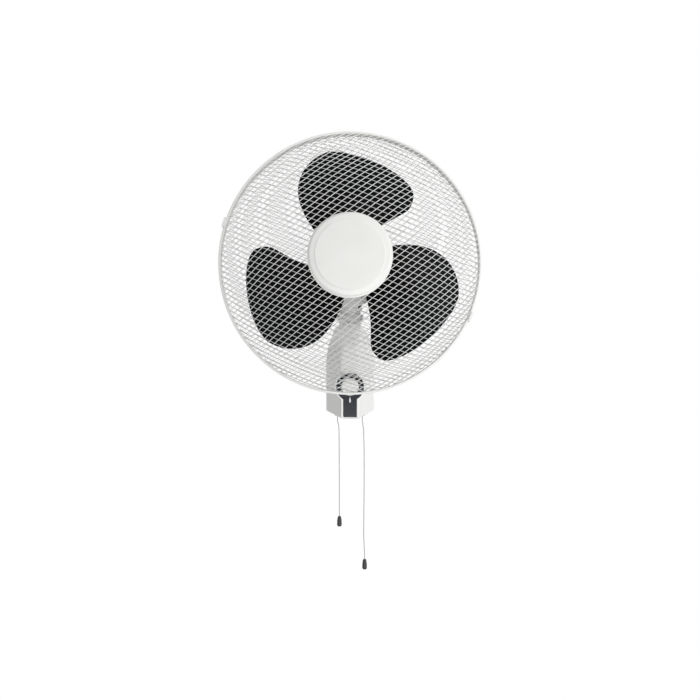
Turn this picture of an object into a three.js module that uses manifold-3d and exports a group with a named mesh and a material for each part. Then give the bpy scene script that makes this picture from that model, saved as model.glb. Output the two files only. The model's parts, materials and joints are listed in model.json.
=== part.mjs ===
// Wall mounted fan. Millimetres, +Z up, wall plane at y = 0, the front faces -Y.
// The origin is the centre of the wall bracket's back face.
import * as THREE from 'three';
import { mergeVertices } from 'three/addons/utils/BufferGeometryUtils.js';
import Module from 'manifold-3d';

const wasm = await Module();
wasm.setup();

// ---------------------------------------------------------------- driving sizes
const AXIS_Z = 150;            // height of the motor's axis above the origin
const RIM_Y = -245;            // plane where the two grille hoops meet
const RIM_R = 215;             // outside radius of the grille
const HOOP_BAR = 5.5;          // radial thickness of each hoop
const HOOP_DEPTH = 12;         // depth of each hoop
const MESH_PITCH = 44;         // spacing of the bars, five wires of the real mesh
const MESH_BAR = 2.6;          // width and thickness of a bar
const MESH_RISE = 38.7;        // slope of the rising bars, degrees
const MESH_FALL = -22.3;       // slope of the falling bars, degrees
const FRONT_BULGE = 72;        // how far the front grille swells ahead of its hoop
const REAR_BULGE = 69;         // how far the rear grille swells behind its hoop
const HUB_PLATE_R = 66;        // centre plate of the front grille
const REAR_PLATE_R = 62;       // centre plate of the rear grille
const PLATE = 3.6;             // thickness of both centre plates
const BADGE_R = 64;            // round centre cap on the front grille
const BADGE_FACE_R = 54.5;     // flat inner disc of the cap
const BADGE_DEPTH = 7.2;
const BADGE_SCREW_X = 30;
const BADGE_SCREW_R = 1.5;
const CLIP_ANGLES = [162, -24];
const CLIP_WIDTH = 16;

const BLADES = 3;
const BLADE_TIP_R = 187;
const BLADE_THICK = 2.6;
const BLADE_MID_Y = -235;
const BLADE_ADVANCE = 44;      // axial rise of the blade for each radian of sweep
const BLADE_CAMBER = 5;
const BLADE_HUB_R = 38;
const BLADE_HUB_BACK = -190;
const BLADE_HUB_FRONT = -256;
const BLADE_NUT_R = 15;
const BLADE_NUT_DEPTH = 14;

const SHAFT_R = 4;
const BUSH_R = 8;
const STATOR_R = 38;
const ROTOR_R = 20;
const STATOR_BACK = -108;
const STATOR_FRONT = -144;
const BELL_REACH = 9;          // depth of each bell's cup beyond the stator
const BELL_WALL = 3;
const MOTOR_BOLT_R = 2;
const BOSS_R = 17;             // threaded nose that carries the rear grille
const GRILLE_NUT_R = 30;
const COVER_R = 52;
const COVER_WALL = 2.2;
const COVER_BACK = -80;
const COVER_SCREW_R = 2;
const VENT_SLOTS = 10;

const PIVOT_Y = -142;          // vertical axis the head swings about
const PIVOT_R = 6;
const PIVOT_SIDES = 28;         // enough that the flats of the bore clear the pin's corners
const PIVOT_COLLAR = 1.6;      // shoulder the socket sits on, beyond the pivot pin
const SET_SCREW_R = 2;
const SOCKET_R = 11;
const NECK_R = 14;
const NECK_TOP = 91.5;
const TILT_Z = 72;             // horizontal axis the head tilts about
const TILT_BOLT_R = 3;
const KNUCKLE_R = 11;
const KNUCKLE_HALF = 11;
const EAR_R = 12.5;
const EAR_HALF = 19;

const SWING_MOTOR_R = 18;
const SWING_MOTOR_BACK = 36;   // swing motor's axis, this far behind the pivot
const SWING_MOTOR_TALL = 11;
const SWING_LIMIT = 45;        // degrees the head swings to each side
const CRANK_THROW = 8;
const LINK_ANCHOR = CRANK_THROW / Math.sin((SWING_LIMIT * Math.PI) / 180);
const LINK_THICK = 1.6;
const LINK_PIN_R = 1.5;

const BASE_BACK_HALF = 48.4;   // half width at the wall
const BASE_FRONT_HALF = 17;
const BASE_DEPTH = 70;
const BASE_WALL = 2.4;
const BASE_FOOT_BACK = -98;    // height of the underside at the wall
const BASE_FOOT_FRONT = -111;
const DIAL_Z = -51;
const DIAL_R = 16.2;
const DIAL_STEM_R = 3;
const DIAL_RISE = 2.4;         // how far the dial stands out of the panel
const PANEL_RING_R = 26.2;
const PANEL_STRIP_HALF = 12.8;
const PANEL_THICK = 1.7;
const PANEL_BORDER = 2.5;      // white edge left around the dark panel
const PLATEAU_RISE = 3;        // raised keyhole ahead of the base's front

const BRACKET_HALF = 34;
const BRACKET_TALL = 52;
const BRACKET_THICK = 2;
const WALL_SCREW_R = 2.75;
const WALL_SCREW_Z = 40;
const HOOK_X = 20;
const COVER_PLATE = 3;         // thickness of the base's back cover
const BACK_SCREW_R = 1.5;
const GLAND_R = 5;             // gland for the mains lead
const GLAND_BORE = 3.2;
const GLAND_Y = -22;

const CORD_R = 0.9;
const CORD_X = 24;
const CORD_Y = -34;
const CORD_KNOT_R = 2.2;
const CORD_BUSH_R = 3;
const CORD_BUSH_BORE = 1.6;
const PULL_TRAVEL = 12;
const LEVER_ARM = 13.5;
const LEVER_Z = -84;
const LEVER_REST = 25;         // degrees the lever points up at rest
const LEVER_PIN_R = 1.6;
const LEVER_WIDE = 6;
const TOGGLE_LONG = 19.5;
const TOGGLE_R = 4.6;

const SWITCH_POST_X = 11;
const SPEED_SWITCH = { x: [-17, 14], below: 9, above: 13 };
const SWING_SWITCH = { x: [4, 28], z: [-93, -60], back: -12 };
const TERMINAL = { x: [-30, -6], z: [-34, -20], deep: 12 };
const CAPACITOR = { x: [8, 30], z: [-40, -4], deep: 20 };

const GAP = 0.3;               // between pieces that only rest on each other
const RUNNING = 0.06;          // radial clearance where a round turns in a bore

// ---------------------------------------------------------------- finishes
const WHITE = { color: 0xf2f2ee, roughness: 0.35, metalness: 0 };
const WIRE = { color: 0xf4f4f2, roughness: 0.4, metalness: 0.1 };
const DARK = { color: 0x12151c, roughness: 0.2, metalness: 0 };
const BLADE = { color: 0x16191b, roughness: 0.25, metalness: 0 };
const STEEL = { color: 0xa8abb0, roughness: 0.35, metalness: 0.9 };
const CAST = { color: 0x8f9296, roughness: 0.55, metalness: 0.8 };
const COPPER = { color: 0x9c4f2a, roughness: 0.4, metalness: 0.7 };
const BRONZE = { color: 0xa9824a, roughness: 0.45, metalness: 0.8 };
const NYLON = { color: 0xdcdcd4, roughness: 0.5, metalness: 0 };
const STRING = { color: 0xd9d9d6, roughness: 0.8, metalness: 0 };
const RUBBER = { color: 0x1d1d1f, roughness: 0.7, metalness: 0 };

const fan = new THREE.Group();
fan.name = 'wall_mounted_fan';

// ---------------------------------------------------------------- shape helpers
const radians = THREE.MathUtils.degToRad;

function solid(geometry) {
  geometry.deleteAttribute('normal');
  geometry.deleteAttribute('uv');
  const merged = mergeVertices(geometry, 1e-4);
  const at = merged.getAttribute('position').array;
  const index = merged.index.array;
  const triangles = [];
  let volume = 0;
  for (let i = 0; i < index.length; i += 3) {
    const [a, b, c] = [index[i], index[i + 1], index[i + 2]];
    if (a === b || b === c || c === a) continue;
    triangles.push([a, b, c]);
    const [p, q, r] = [a, b, c].map((v) => new THREE.Vector3().fromArray(at, 3 * v));
    volume += p.dot(q.cross(r));
  }
  if (volume < 0) triangles.forEach((t) => t.reverse());
  const triVerts = new Uint32Array(triangles.flat());
  const vertProperties = new Float32Array(at);
  return new wasm.Manifold(new wasm.Mesh({ numProp: 3, vertProperties, triVerts }));
}

function place(name, body, finish) {
  const mesh = body.getMesh();
  const geometry = new THREE.BufferGeometry();
  geometry.setAttribute('position', new THREE.BufferAttribute(mesh.vertProperties, 3));
  geometry.setIndex(new THREE.BufferAttribute(mesh.triVerts, 1));
  const node = new THREE.Mesh(geometry, new THREE.MeshStandardMaterial(finish));
  node.name = name;
  fan.add(node);
  return body;
}

function box([x0, x1], [y0, y1], [z0, z1]) {
  const geometry = new THREE.BoxGeometry(Math.abs(x1 - x0), Math.abs(y1 - y0), Math.abs(z1 - z0));
  return solid(geometry.translate((x0 + x1) / 2, (y0 + y1) / 2, (z0 + z1) / 2));
}

// Cylinder about an axis parallel to 'x', 'y' or 'z'; centre gives the other two coordinates.
function rod(axis, centre, radius, from, to, sides = 24, endRadius = radius) {
  const geometry = new THREE.CylinderGeometry(endRadius, radius, to - from, sides);
  geometry.translate(0, (from + to) / 2, 0);
  if (axis === 'x') geometry.rotateZ(-Math.PI / 2).translate(0, centre[0], centre[1]);
  if (axis === 'y') geometry.translate(centre[0], 0, centre[1]);
  if (axis === 'z') geometry.rotateX(Math.PI / 2).translate(centre[0], centre[1], 0);
  return solid(geometry);
}

// Turned piece about the motor's axis, from a closed profile of [radius, y].
function turned(profile, sides) {
  const points = profile.map(([r, y]) => new THREE.Vector2(r, y));
  if (profile[0][0] > 0) points.push(points[0].clone());
  return solid(new THREE.LatheGeometry(points, sides).translate(0, 0, AXIS_Z));
}

const onAxis = (radius, from, to, sides) => rod('y', [0, AXIS_Z], radius, from, to, sides);

// Plate standing up, its outline in x and z, from y = back forward by its thickness.
function upright(shape, back, thickness) {
  const options = { depth: thickness, bevelEnabled: false, curveSegments: 4 };
  return solid(new THREE.ExtrudeGeometry(shape, options).rotateX(Math.PI / 2).translate(0, back, 0));
}

// Outline with rounded corners, from corners [u, v, radius].
function rounded(corners, steps = 3) {
  const outline = [];
  corners.forEach(([u, v, radius], i) => {
    const [pu, pv] = corners[(i + corners.length - 1) % corners.length];
    const [nu, nv] = corners[(i + 1) % corners.length];
    const corner = new THREE.Vector2(u, v);
    const toLast = new THREE.Vector2(pu - u, pv - v).normalize();
    const toNext = new THREE.Vector2(nu - u, nv - v).normalize();
    const half = Math.acos(THREE.MathUtils.clamp(toLast.dot(toNext), -1, 1)) / 2;
    const middle = toLast.clone().add(toNext).normalize();
    const centre = corner.clone().addScaledVector(middle, radius / Math.sin(half));
    const start = corner.clone().addScaledVector(toLast, radius / Math.tan(half)).sub(centre);
    const turn = Math.sign(toLast.x * toNext.y - toLast.y * toNext.x) * (Math.PI - 2 * half);
    for (let k = 0; k <= steps; k += 1) {
      const spoke = start.clone().rotateAround(new THREE.Vector2(), -turn * (k / steps));
      outline.push(centre.clone().add(spoke));
    }
  });
  return outline;
}

const shapeOf = (corners) => new THREE.Shape(rounded(corners));

// Solid skinned over rings of equal point count, closed at both ends.
function skinned(rings) {
  const count = rings[0].length;
  const at = rings.flat().flatMap((p) => [p.x, p.y, p.z]);
  const index = [];
  for (let r = 0; r + 1 < rings.length; r += 1) {
    for (let k = 0; k < count; k += 1) {
      const a = r * count + k;
      const b = r * count + (k + 1) % count;
      index.push(a, b, b + count, a, b + count, a + count);
    }
  }
  [0, rings.length - 1].forEach((r) => {
    const middle = rings[r].reduce((sum, p) => sum.add(p), new THREE.Vector3());
    middle.divideScalar(count);
    const hub = at.length / 3;
    at.push(middle.x, middle.y, middle.z);
    for (let k = 0; k < count; k += 1) {
      const a = r * count + k;
      const b = r * count + (k + 1) % count;
      if (r === 0) index.push(hub, b, a);
      else index.push(hub, a, b);
    }
  });
  const geometry = new THREE.BufferGeometry();
  geometry.setAttribute('position', new THREE.Float32BufferAttribute(at, 3));
  geometry.setIndex(index);
  return solid(geometry);
}

// ---------------------------------------------------------------- grilles
// Mid surface of a grille: y at a distance r from the motor's axis.
const meshEdge = RIM_R - HOOP_BAR + 1;
function dome(hoopY, centreY, fullness) {
  return (r) => centreY + (hoopY - centreY) * Math.min(r / meshEdge, 1) ** fullness;
}

// Diamond mesh of crossing bars that follows the dome.
function meshSheet(surface) {
  const half = MESH_BAR / 2;
  const reach = Math.ceil(RIM_R / MESH_PITCH) + 1;
  const offsets = [];
  for (let k = -reach; k <= reach; k += 1) {
    offsets.push(k * MESH_PITCH - half, k * MESH_PITCH + half);
  }
  const [rise, fall] = [radians(MESH_RISE), radians(MESH_FALL)];
  const cross = Math.sin(rise - fall);
  const crossing = (i, j) => {
    const x = (offsets[i] * Math.cos(fall) - offsets[j] * Math.cos(rise)) / -cross;
    const z = (offsets[j] * Math.sin(rise) - offsets[i] * Math.sin(fall)) / cross;
    return new THREE.Vector2(x, z);
  };
  const span = offsets.length;
  const at = [];
  for (let i = 0; i < span; i += 1) {
    for (let j = 0; j < span; j += 1) {
      const p = crossing(i, j);
      const y = surface(p.length());
      at.push(p.x, y - half, p.y + AXIS_Z, p.x, y + half, p.y + AXIS_Z);
    }
  }
  const nearKnot = (i, j) => crossing(i, j).length() < RIM_R + MESH_PITCH;
  const present = (i, j) => {
    if (i < 0 || j < 0 || i > span - 2 || j > span - 2) return false;
    if (i % 2 === 1 && j % 2 === 1) return false;
    const last = (n) => (n % 2 === 0 ? n : n - 1);
    const next = (n) => (n % 2 === 0 ? n : n + 1);
    return nearKnot(last(i), last(j)) && nearKnot(next(i), next(j));
  };
  const index = [];
  const quad = (a, b, c, d) => index.push(a, b, c, a, c, d);
  const front = (i, j) => 2 * (i * span + j);
  const back = (i, j) => front(i, j) + 1;
  const wall = (a, b) => quad(front(...a), front(...b), back(...b), back(...a));
  for (let i = 0; i < span - 1; i += 1) {
    for (let j = 0; j < span - 1; j += 1) {
      if (!present(i, j)) continue;
      quad(front(i, j), front(i, j + 1), front(i + 1, j + 1), front(i + 1, j));
      quad(back(i, j), back(i + 1, j), back(i + 1, j + 1), back(i, j + 1));
      if (!present(i, j - 1)) wall([i, j], [i + 1, j]);
      if (!present(i, j + 1)) wall([i + 1, j + 1], [i, j + 1]);
      if (!present(i - 1, j)) wall([i, j + 1], [i, j]);
      if (!present(i + 1, j)) wall([i + 1, j], [i + 1, j + 1]);
    }
  }
  const geometry = new THREE.BufferGeometry();
  geometry.setAttribute('position', new THREE.Float32BufferAttribute(at, 3));
  geometry.setIndex(index);
  return solid(geometry);
}

function ring(outer, inner, back, front, sides) {
  return turned([[outer, back], [outer, front], [inner, front], [inner, back]], sides);
}

function grille(surface, plateR, hoopBack, hoopFront, plateBack) {
  const hoop = ring(RIM_R, RIM_R - HOOP_BAR, hoopBack, hoopFront, 48);
  const span = [Math.min(plateBack, hoopFront) - 40, Math.max(plateBack, hoopBack) + 40];
  const keep = ring(meshEdge, plateR - 2, span[1], span[0], 48);
  const plate = onAxis(plateR, plateBack - PLATE, plateBack, 36);
  return meshSheet(surface).intersect(keep).add(hoop).add(plate);
}

const hoopMeet = GAP / 2;
const frontHoopBack = RIM_Y - hoopMeet;
const frontHoopFront = RIM_Y - HOOP_DEPTH;
const rearHoopFront = RIM_Y + hoopMeet;
const rearHoopBack = RIM_Y + HOOP_DEPTH;
const frontSurface = dome(RIM_Y - HOOP_DEPTH / 2, RIM_Y - HOOP_DEPTH / 2 - FRONT_BULGE, 3);
const rearSurface = dome(RIM_Y + HOOP_DEPTH / 2, RIM_Y + HOOP_DEPTH / 2 + REAR_BULGE, 4);
const hubPlateBack = frontSurface(HUB_PLATE_R) + PLATE / 2;
const hubPlateFront = hubPlateBack - PLATE;
const rearPlateBack = rearSurface(REAR_PLATE_R) + PLATE / 2;
const rearPlateFront = rearPlateBack - PLATE;

function frontGrille() {
  let body = grille(frontSurface, HUB_PLATE_R, frontHoopBack, frontHoopFront, hubPlateBack);
  body = body.subtract(onAxis(12, hubPlateFront - 1, hubPlateBack + 1, 24));
  [-1, 1].forEach((side) => {
    const at = [side * BADGE_SCREW_X, AXIS_Z];
    body = body.subtract(rod('y', at, BADGE_SCREW_R + GAP, hubPlateFront - 1, hubPlateBack + 1, 8));
  });
  return body;
}

function rearGrille() {
  const body = grille(rearSurface, REAR_PLATE_R, rearHoopBack, rearHoopFront, rearPlateBack);
  return body.subtract(onAxis(BOSS_R + GAP, rearPlateFront - 1, rearPlateBack + 1, 36));
}

place('front_grille', frontGrille(), WIRE);
place('rear_grille', rearGrille(), WIRE);

// Centre cap: a shallow dish with a bevelled edge, on two screwed posts.
const badgeBack = hubPlateFront - GAP;
const badgeFront = badgeBack - BADGE_DEPTH;
function hubBadge() {
  const hollow = BADGE_FACE_R - 2;
  let body = turned([
    [0, badgeFront], [BADGE_FACE_R, badgeFront + 0.8], [BADGE_FACE_R + 1, badgeFront + 1.8],
    [BADGE_R - 1.5, badgeFront + 3.4], [BADGE_R, badgeFront + 5], [BADGE_R, badgeBack],
    [BADGE_R - 3, badgeBack], [hollow, badgeFront + 3.2], [0, badgeFront + 2.6],
  ], 32);
  [-1, 1].forEach((side) => {
    const at = [side * BADGE_SCREW_X, AXIS_Z];
    body = body.add(rod('y', at, 3.6, badgeFront + 2, badgeBack, 8));
    body = body.subtract(rod('y', at, BADGE_SCREW_R + GAP, badgeFront + 2.9, badgeBack + 1, 8));
  });
  return body;
}
place('hub_badge', hubBadge(), WHITE);

// A pan head screw along Y: the head starts at y = seat and the shank runs by length.
function screw(x, z, radius, seat, length) {
  const forward = Math.sign(length);
  const head = [seat, seat - forward * radius * 1.1].sort((a, b) => a - b);
  const shank = [seat, seat + length].sort((a, b) => a - b);
  const slot = [head[0] - 1, head[1] + 1];
  const deep = radius * 0.5;
  if (forward > 0) slot[1] = head[0] + deep;
  else slot[0] = head[1] - deep;
  const body = rod('y', [x, z], radius * 2, ...head, 10).add(rod('y', [x, z], radius, ...shank, 8));
  return body.subtract(box([x - radius * 1.5, x + radius * 1.5], slot, [z - 0.4, z + 0.4]));
}

[['left', -1], ['right', 1]].forEach(([side, sign]) => {
  const seat = hubPlateBack + GAP;
  const length = badgeFront + 2.9 + GAP - seat;
  const x = sign * BADGE_SCREW_X;
  place(`badge_screw_${side}`, screw(x, AXIS_Z, BADGE_SCREW_R, seat, length), STEEL);
});

// Clips that hold the two hoops together.
function rimClip(angle) {
  const depth = HOOP_DEPTH + GAP + 1.8;
  const outer = [RIM_R + GAP, RIM_R + GAP + 2.2];
  const lip = [RIM_R - HOOP_BAR / 2, outer[1]];
  const half = CLIP_WIDTH / 2;
  let body = box(outer, [RIM_Y - depth, RIM_Y + depth], [-half, half]);
  [-1, 1].forEach((side) => {
    const edge = [RIM_Y + side * (HOOP_DEPTH + GAP), RIM_Y + side * depth].sort((a, b) => a - b);
    body = body.add(box(lip, edge, [-half, half]));
  });
  return body.rotate([0, -angle, 0]).translate([0, 0, AXIS_Z]);
}
['left', 'right'].forEach((side, i) => place(`rim_clip_${side}`, rimClip(CLIP_ANGLES[i]), WHITE));

// ---------------------------------------------------------------- rotor
// Blade's two edges as [degrees of sweep, share of the way from root to tip].
const LEADING = [
  [62, 0], [52, 0.373], [45.5, 0.64], [46.3, 0.778], [53, 0.892], [76, 0.944], [96, 0.993],
];
const TRAILING = [
  [122, 0], [135.5, 0.386], [130.5, 0.595], [124, 0.755], [117, 0.869], [110, 0.948], [103.5, 0.993],
];
const bladeRoot = BLADE_HUB_R - 4;

function bladeRing(along, leading, trailing) {
  const cuts = 6;
  const lead = leading.getPoint(along);
  const trail = trailing.getPoint(along);
  const upper = [];
  const lower = [];
  for (let k = 0; k <= cuts; k += 1) {
    const p = lead.clone().lerp(trail, k / cuts);
    const sweep = radians(p.x);
    const radius = bladeRoot + p.y * (BLADE_TIP_R - bladeRoot);
    const camber = BLADE_CAMBER * Math.sin(Math.PI * (k / cuts)) * Math.min(1, p.y / 0.57);
    const y = BLADE_MID_Y - BLADE_ADVANCE * radians(p.x - 90) - camber;
    const edge = 1 - 0.45 * Math.abs(2 * (k / cuts) - 1) ** 4;
    const thick = (BLADE_THICK * edge * (1 - 0.25 * along)) / 2;
    const [x, z] = [radius * Math.cos(sweep), radius * Math.sin(sweep) + AXIS_Z];
    upper.push(new THREE.Vector3(x, y - thick, z));
    lower.unshift(new THREE.Vector3(x, y + thick, z));
  }
  return [...upper, ...lower];
}

function blade() {
  const curve = (points) => new THREE.SplineCurve(points.map(([a, r]) => new THREE.Vector2(a, r)));
  const [leading, trailing] = [curve(LEADING), curve(TRAILING)];
  const spans = 11;
  const rings = [];
  for (let k = 0; k <= spans; k += 1) rings.push(bladeRing(k / spans, leading, trailing));
  return skinned(rings);
}

const hubCavity = BLADE_HUB_R - 3;
const hubBossR = SHAFT_R + 5;
function fanBlade() {
  let body = turned([
    [0, BLADE_HUB_FRONT], [BLADE_HUB_R - 8, BLADE_HUB_FRONT], [BLADE_HUB_R, BLADE_HUB_FRONT + 8],
    [BLADE_HUB_R, BLADE_HUB_BACK], [0, BLADE_HUB_BACK],
  ], 32);
  for (let k = 0; k < BLADES; k += 1) {
    const turn = [0, (360 / BLADES) * k, 0];
    const about = blade().translate([0, 0, -AXIS_Z]).rotate(turn).translate([0, 0, AXIS_Z]);
    body = body.add(about);
  }
  const cavity = ring(hubCavity, hubBossR, BLADE_HUB_BACK + 1, BLADE_HUB_FRONT + 4, 32);
  const bore = onAxis(SHAFT_R + GAP, BLADE_HUB_FRONT - 1, BLADE_HUB_BACK + 1, 24);
  return body.subtract(cavity).subtract(bore);
}
place('fan_blade', fanBlade(), BLADE);

const nutBack = BLADE_HUB_FRONT - GAP;
const nutFront = nutBack - BLADE_NUT_DEPTH;
place('blade_nut', turned([
  [0, nutFront], [BLADE_NUT_R - 7, nutFront], [BLADE_NUT_R - 2, nutFront + 5],
  [BLADE_NUT_R, nutBack], [SHAFT_R + GAP, nutBack], [SHAFT_R + GAP, nutFront + 4],
  [0, nutFront + 4],
], 24), BLADE);
const shaftFront = nutFront + 4 + GAP;
place('rotor_core', ring(ROTOR_R, SHAFT_R + GAP, STATOR_BACK - 1, STATOR_FRONT + 1, 24), STEEL);

// ---------------------------------------------------------------- motor
const statorBore = ROTOR_R + GAP;
const coilOuter = STATOR_R - 4;
const coilInner = ROTOR_R + 3;
const frontBellBack = STATOR_FRONT - GAP;
const frontBellFace = STATOR_FRONT - BELL_REACH - BELL_WALL;
const noseFront = rearPlateFront - GAP - 11;
const rearBellFront = STATOR_BACK + GAP;
const rearBellFace = STATOR_BACK + BELL_REACH + BELL_WALL;
const socketTop = AXIS_Z - STATOR_R - 1;
const socketBottom = NECK_TOP + 3.4;
const boltCircleR = STATOR_R - 3.4;
const boltAngles = [45, 135, 225, 315];

const boltPlace = (angle) => {
  const [x, z] = [Math.cos(radians(angle)), Math.sin(radians(angle))];
  return [boltCircleR * x, AXIS_Z + boltCircleR * z];
};

const motorSpan = [noseFront - 1, rearBellFace + 1];
function drilled(body) {
  const holes = boltAngles.map((a) => rod('y', boltPlace(a), MOTOR_BOLT_R + GAP, ...motorSpan, 8));
  return holes.reduce((b, hole) => b.subtract(hole), body);
}

const core = ring(STATOR_R, statorBore, STATOR_BACK, STATOR_FRONT, 36);
place('stator', drilled(core), STEEL);

// End windings: the loops of wire that stand out of the stator at each end.
function winding(from, towards) {
  const [low, high] = [from + towards * GAP, from + towards * (BELL_REACH - 1.5)];
  const bulge = (low + high) / 2;
  return turned([
    [coilInner, low], [coilInner - 0.5, bulge], [coilInner + 2, high], [coilOuter - 3.4, high],
    [coilOuter - 2.2, bulge], [coilOuter - 3, low],
  ], 24);
}
place('front_winding', winding(STATOR_FRONT, -1), COPPER);
place('rear_winding', winding(STATOR_BACK, 1), COPPER);

// Front bell: cup, threaded nose for the grille and the socket the head swings on.
function frontBell() {
  let body = turned([
    [0, frontBellFace], [STATOR_R - 3, frontBellFace], [STATOR_R, frontBellFace + 3],
    [STATOR_R, frontBellBack], [0, frontBellBack],
  ], 24);
  body = body.add(onAxis(BOSS_R, noseFront, frontBellFace + 1, 24));
  body = body.add(rod('z', [0, PIVOT_Y], SOCKET_R, socketBottom, socketTop, 24));
  const web = [Math.min(frontBellFace, PIVOT_Y - SOCKET_R), frontBellBack];
  body = body.add(box([-SOCKET_R, SOCKET_R], web, [socketBottom, AXIS_Z - STATOR_R / 2]));
  const cup = onAxis(coilOuter - 1.2, STATOR_FRONT - BELL_REACH, frontBellBack + 1, 24);
  const clip = onAxis(STATOR_R + GAP, frontBellBack, STATOR_BACK, 24);
  body = body.subtract(cup).subtract(clip);
  body = body.subtract(onAxis(BUSH_R + GAP, noseFront + 3, frontBellBack, 24));
  body = body.subtract(onAxis(SHAFT_R + 1, noseFront - 1, noseFront + 4, 24));
  body = drilled(body);
  const socket = [socketBottom - 1, socketTop - 2];
  body = body.subtract(rod('z', [0, PIVOT_Y], PIVOT_R + RUNNING, ...socket, PIVOT_SIDES));
  const screwHole = rod('y', [0, setScrewZ], SET_SCREW_R + GAP, noseFront, PIVOT_Y, 8);
  return body.subtract(screwHole);
}
const setScrewZ = (socketBottom + socketTop) / 2;
place('front_bell', frontBell(), CAST);
const setScrewFront = Math.min(frontBellFace, PIVOT_Y - SOCKET_R) + 0.4;
const setScrewTip = PIVOT_Y - PIVOT_R - GAP;
const setScrew = rod('y', [0, setScrewZ], SET_SCREW_R, setScrewFront, setScrewTip, 8);
place('pivot_set_screw', setScrew, STEEL);

function rearBell() {
  let body = turned([
    [0, rearBellFront], [STATOR_R, rearBellFront], [STATOR_R, rearBellFace - 3],
    [STATOR_R - 3, rearBellFace], [0, rearBellFace],
  ], 24);
  body = body.subtract(onAxis(coilOuter - 1.2, rearBellFront - 1, STATOR_BACK + BELL_REACH, 24));
  body = body.add(onAxis(BUSH_R + 3, rearBellFace - 8, rearBellFace - 1, 24));
  body = body.add(onAxis(BUSH_R, rearBellFace - 1, rearBellFace + 5, 24));
  body = body.subtract(onAxis(BUSH_R + GAP, rearBellFront - 1, rearBellFace - 1, 24));
  body = body.subtract(onAxis(COVER_SCREW_R + GAP, rearBellFace + 0.5, rearBellFace + 6, 12));
  return drilled(body);
}
place('rear_bell', rearBell(), CAST);
const frontBushFront = noseFront + 3 + GAP;
place('front_bush', ring(BUSH_R, SHAFT_R + RUNNING, frontBushFront + 14, frontBushFront, 24), BRONZE);
const rearBushBack = rearBellFace - 1 - GAP;
place('shaft', onAxis(SHAFT_R, shaftFront, rearBushBack, 24), STEEL);
place('rear_bush', ring(BUSH_R, SHAFT_R + RUNNING, rearBushBack, rearBushBack - 6, 24), BRONZE);

boltAngles.forEach((angle, i) => {
  const [x, z] = boltPlace(angle);
  const seat = rearBellFace + GAP;
  place(`motor_bolt_${i + 1}`, screw(x, z, MOTOR_BOLT_R, seat, frontBellFace - seat), STEEL);
});

place('grille_nut', turned([
  [BOSS_R + GAP, rearPlateFront - GAP], [GRILLE_NUT_R, rearPlateFront - GAP],
  [GRILLE_NUT_R, rearPlateFront - 5], [GRILLE_NUT_R - 6, rearPlateFront - 9],
  [BOSS_R + GAP, rearPlateFront - 9],
], 24), NYLON);

// ---------------------------------------------------------------- motor's cover
const coverFront = rearPlateBack + GAP;
const bellyHalf = SWING_MOTOR_R + COVER_WALL + 2;
const swingMotorY = PIVOT_Y + SWING_MOTOR_BACK;
const swingMotorTop = AXIS_Z - STATOR_R - 1;
const swingMotorBottom = swingMotorTop - SWING_MOTOR_TALL;
const crankTop = swingMotorBottom - 1;
const linkBottom = NECK_TOP + GAP;
const bellyBottom = NECK_TOP - 3;
const bellyFront = PIVOT_Y + NECK_R + 1.2;

function coverHull(inset, reach) {
  const r = COVER_R - inset;
  const back = COVER_BACK - inset;
  const bowl = turned([
    [0, coverFront - reach], [r, coverFront - reach], [r, back - 26],
    [r - 5, back - 12], [r - 16, back - 3], [r - 28, back], [0, back],
  ], 32);
  const corner = 12;
  const shape = shapeOf([
    [-bellyHalf + inset, bellyFront + inset - (inset > 0 ? 2 * inset : 0) + reach, 2],
    [bellyHalf - inset, bellyFront + inset - (inset > 0 ? 2 * inset : 0) + reach, 2],
    [bellyHalf - inset, COVER_BACK - 2 - inset, corner],
    [-bellyHalf + inset, COVER_BACK - 2 - inset, corner],
  ]);
  const tall = AXIS_Z - 20 - (bellyBottom + inset);
  const options = { depth: tall, bevelEnabled: false };
  const belly = new THREE.ExtrudeGeometry(shape, options).translate(0, 0, bellyBottom + inset);
  return bowl.add(solid(belly));
}

function motorCover() {
  let body = coverHull(0, 0).subtract(coverHull(COVER_WALL, 1));
  // Opening round the neck and the socket, and the path of the link.
  const room = NECK_R + 2;
  body = body.subtract(box([-room, room], [coverFront + 4, PIVOT_Y + room], [80, NECK_TOP + 14]));
  body = body.subtract(box([-room, room], [PIVOT_Y, bellyFront + 8], [NECK_TOP - 0.6, NECK_TOP + 6]));
  // Ventilation slots in the back.
  for (let k = 0; k < VENT_SLOTS; k += 1) {
    const slot = box([COVER_R - 38, COVER_R - 20], [COVER_BACK - 12, COVER_BACK + 5], [-1.6, 1.6]);
    const angle = (360 / VENT_SLOTS) * (k + 0.5);
    body = body.subtract(slot.rotate([0, angle, 0]).translate([0, 0, AXIS_Z]));
  }
  body = body.add(onAxis(BUSH_R, rearBellFace + 5 + GAP, COVER_BACK - 1, 32));
  return body.subtract(onAxis(COVER_SCREW_R + GAP, rearBellFace, COVER_BACK + 1, 12));
}
place('motor_rear_cover', motorCover(), WHITE);
const coverScrewSeat = COVER_BACK + GAP;
const coverScrewLong = rearBellFace + 1 + GAP - coverScrewSeat;
place('cover_screw', screw(0, AXIS_Z, COVER_SCREW_R, coverScrewSeat, coverScrewLong), STEEL);

// ---------------------------------------------------------------- swing drive
const motorPost = rod('z', [0, swingMotorY], 3, crankTop + GAP - 0.2, swingMotorBottom + 1, 20);
place('swing_motor', rod('z', [0, swingMotorY], SWING_MOTOR_R, swingMotorBottom, swingMotorTop, 36)
  .add(motorPost), STEEL);

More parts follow.
